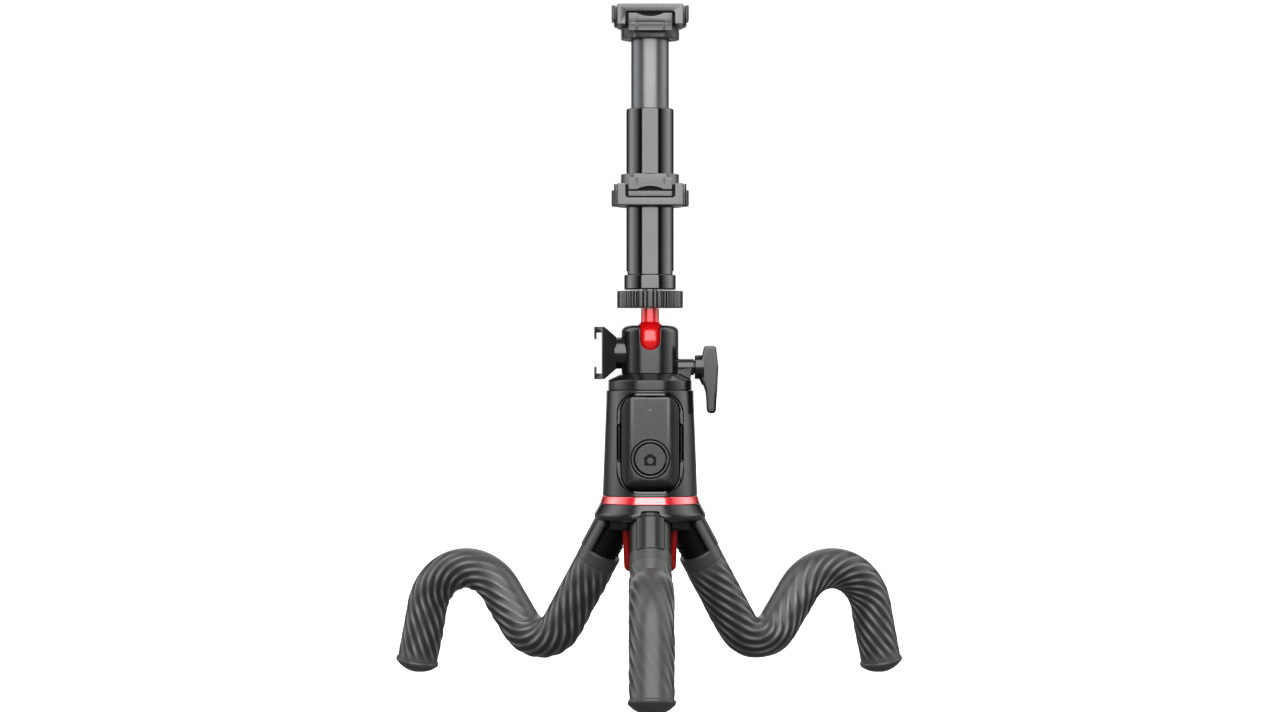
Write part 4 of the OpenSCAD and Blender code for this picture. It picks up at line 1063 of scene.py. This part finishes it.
# %% A sleeve on every leg
def knee_line(leg, knee, way, reach):
    """Start and end of the stretch that bends round a knee, in metres."""
    at = Vector(joints[f"{leg}_{knee}_bend"]["pos_m"])
    out = Vector((at.x, at.y, 0)).normalized()
    along = out * math.cos(math.radians(way)) + Vector((0, 0, math.sin(math.radians(way))))
    return at - along * reach * MM, at + along * reach * MM


VALLEY_WAY = (heading["upper"] + heading["middle"]) / 2
CREST_WAY = (heading["middle"] + heading["last"]) / 2
for leg, degrees in TURNS.items():
    for half, first, second, knee, way, reach, hidden in (
        (upper_half, "leg", "leg_middle", "low", VALLEY_WAY, 9, ["sleeve_upper", "sleeve_middle"]),
        (lower_half, "leg_middle", "leg_end", "high", CREST_WAY, 11, ["sleeve_lower"]),
    ):
        end = "upper" if half == upper_half else "lower"
        skin = half if leg == "front" else copy_of(half, f"{leg}_leg_sleeve_{end}")
        if leg != "front":
            place(skin, spin(degrees))
        dress(skin, LEG_RUBBER)
        start, stop = knee_line(leg, knee, way, reach)
        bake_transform(skin)
        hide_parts(*[f"{leg}_{name}" for name in hidden])
print("sleeves on", list(TURNS))

# %% [markdown]
# ## Studio
# The picture is lit as products are: a broad soft light in front, tall soft lights at both sides,
# and white all round. Here the sky gives all of that light. It is bright in front, dark in a band
# to each side of that, and bright again further round, which draws the upright stripes on the post
# and the ball housing. A weak strip behind gives the back some form. Light that comes from the sky
# falls evenly on the floor, so the floor stays pale out to the horizon. The floor is like a light
# table, which glows faintly and so takes the shadows away, but it gives little light to the
# undersides. It lies below the feet, because legs that are folded straight down reach lower than
# standing ones.

# %% Floor
FLOOR_BELOW_FEET = 0.12
FLOOR_GLOW = 0.45
FLOOR_BOUNCE = 0.13


def show(tree, felt, seen, output):
    """Shows the camera one shader and gives all other rays another."""
    ray = tree.nodes.new("ShaderNodeLightPath")
    choose = tree.nodes.new("ShaderNodeMixShader")
    out = tree.nodes.new(output)
    tree.links.new(ray.outputs["Is Camera Ray"], choose.inputs[0])
    tree.links.new(felt.outputs[0], choose.inputs[1])
    tree.links.new(seen.outputs[0], choose.inputs[2])
    tree.links.new(choose.outputs[0], out.inputs[0])


clear()
bpy.ops.mesh.primitive_plane_add(size=40, location=(0, 0, -FLOOR_BELOW_FEET))
floor = bpy.context.object
floor.name = "floor"
floor_paint = bpy.data.materials.new("pale_floor")
floor_paint.use_nodes = True
tree = floor_paint.node_tree
tree.nodes.clear()
pale = node(tree, "ShaderNodeBsdfDiffuse", Color=(0.8, 0.8, 0.8, 1))
glow = node(tree, "ShaderNodeEmission", Color=(1, 1, 1, 1), Strength=FLOOR_GLOW)
lit = tree.nodes.new("ShaderNodeAddShader")
tree.links.new(pale.outputs[0], lit.inputs[0])
tree.links.new(glow.outputs[0], lit.inputs[1])
dim = node(tree, "ShaderNodeBsdfDiffuse", Color=(FLOOR_BOUNCE, FLOOR_BOUNCE, FLOOR_BOUNCE, 1))
show(tree, dim, lit, "ShaderNodeOutputMaterial")
floor.data.materials.append(floor_paint)
print("floor:", FLOOR_BELOW_FEET, "m below the feet")

# %% Light
bpy.context.scene.view_settings.view_transform = "Standard"
LIGHT_STRENGTH = 6.0
OVERHEAD = 0.04
OVERHEAD_FROM, OVERHEAD_FULL = 0.88, 0.97
# Degrees round from the front, and how bright the sky is there
AROUND_LIGHT = [
    (0, 1.0), (36, 1.0), (40, 0.0), (52, 0.0), (64, 0.15), (80, 0.38), (98, 0.56), (108, 0.42), (124, 0.1),
    (140, 0.0), (154, 0.0), (160, 0.22), (180, 0.22)]

world = bpy.data.worlds.new("studio")
bpy.context.scene.world = world
world.use_nodes = True
sky = world.node_tree
sky.nodes.clear()
link = sky.links.new
where = sky.nodes.new("ShaderNodeTexCoord")
axes = sky.nodes.new("ShaderNodeSeparateXYZ")
back = node(sky, "ShaderNodeMath", operation="MULTIPLY")
back.inputs[1].default_value = -1.0
azimuth = node(sky, "ShaderNodeMath", operation="ARCTAN2")
either = node(sky, "ShaderNodeMath", operation="ABSOLUTE")
share = node(sky, "ShaderNodeMath", operation="DIVIDE")
share.inputs[1].default_value = math.pi
stripes = sky.nodes.new("ShaderNodeValToRGB")
for i, (degrees, value) in enumerate(AROUND_LIGHT):
    stop = stripes.color_ramp.elements[0] if i == 0 else stripes.color_ramp.elements.new(degrees / 180)
    if i == len(AROUND_LIGHT) - 1:
        stripes.color_ramp.elements.remove(stop)
        stop = stripes.color_ramp.elements[-1]
    stop.color = (value, value, value, 1)
above = node(sky, "ShaderNodeMapRange", interpolation_type="SMOOTHSTEP")
above.inputs["From Min"].default_value = OVERHEAD_FROM
above.inputs["From Max"].default_value = OVERHEAD_FULL
link(where.outputs["Generated"], axes.inputs[0])
link(axes.outputs["Y"], back.inputs[0])
link(axes.outputs["X"], azimuth.inputs[0])
link(back.outputs[0], azimuth.inputs[1])
link(azimuth.outputs[0], either.inputs[0])
link(either.outputs[0], share.inputs[0])
link(share.outputs[0], stripes.inputs[0])
link(axes.outputs["Z"], above.inputs["Value"])
felt = node(sky, "ShaderNodeBackground", Strength=LIGHT_STRENGTH)
glow = mix_colour(sky, above.outputs[0], stripes.outputs["Color"], (OVERHEAD, OVERHEAD, OVERHEAD))
link(glow, felt.inputs["Color"])
seen = node(sky, "ShaderNodeBackground", Color=(1, 1, 1, 1), Strength=1.05)
show(sky, felt, seen, "ShaderNodeOutputWorld")
print("sky:", len(stripes.color_ramp.elements), "bands")
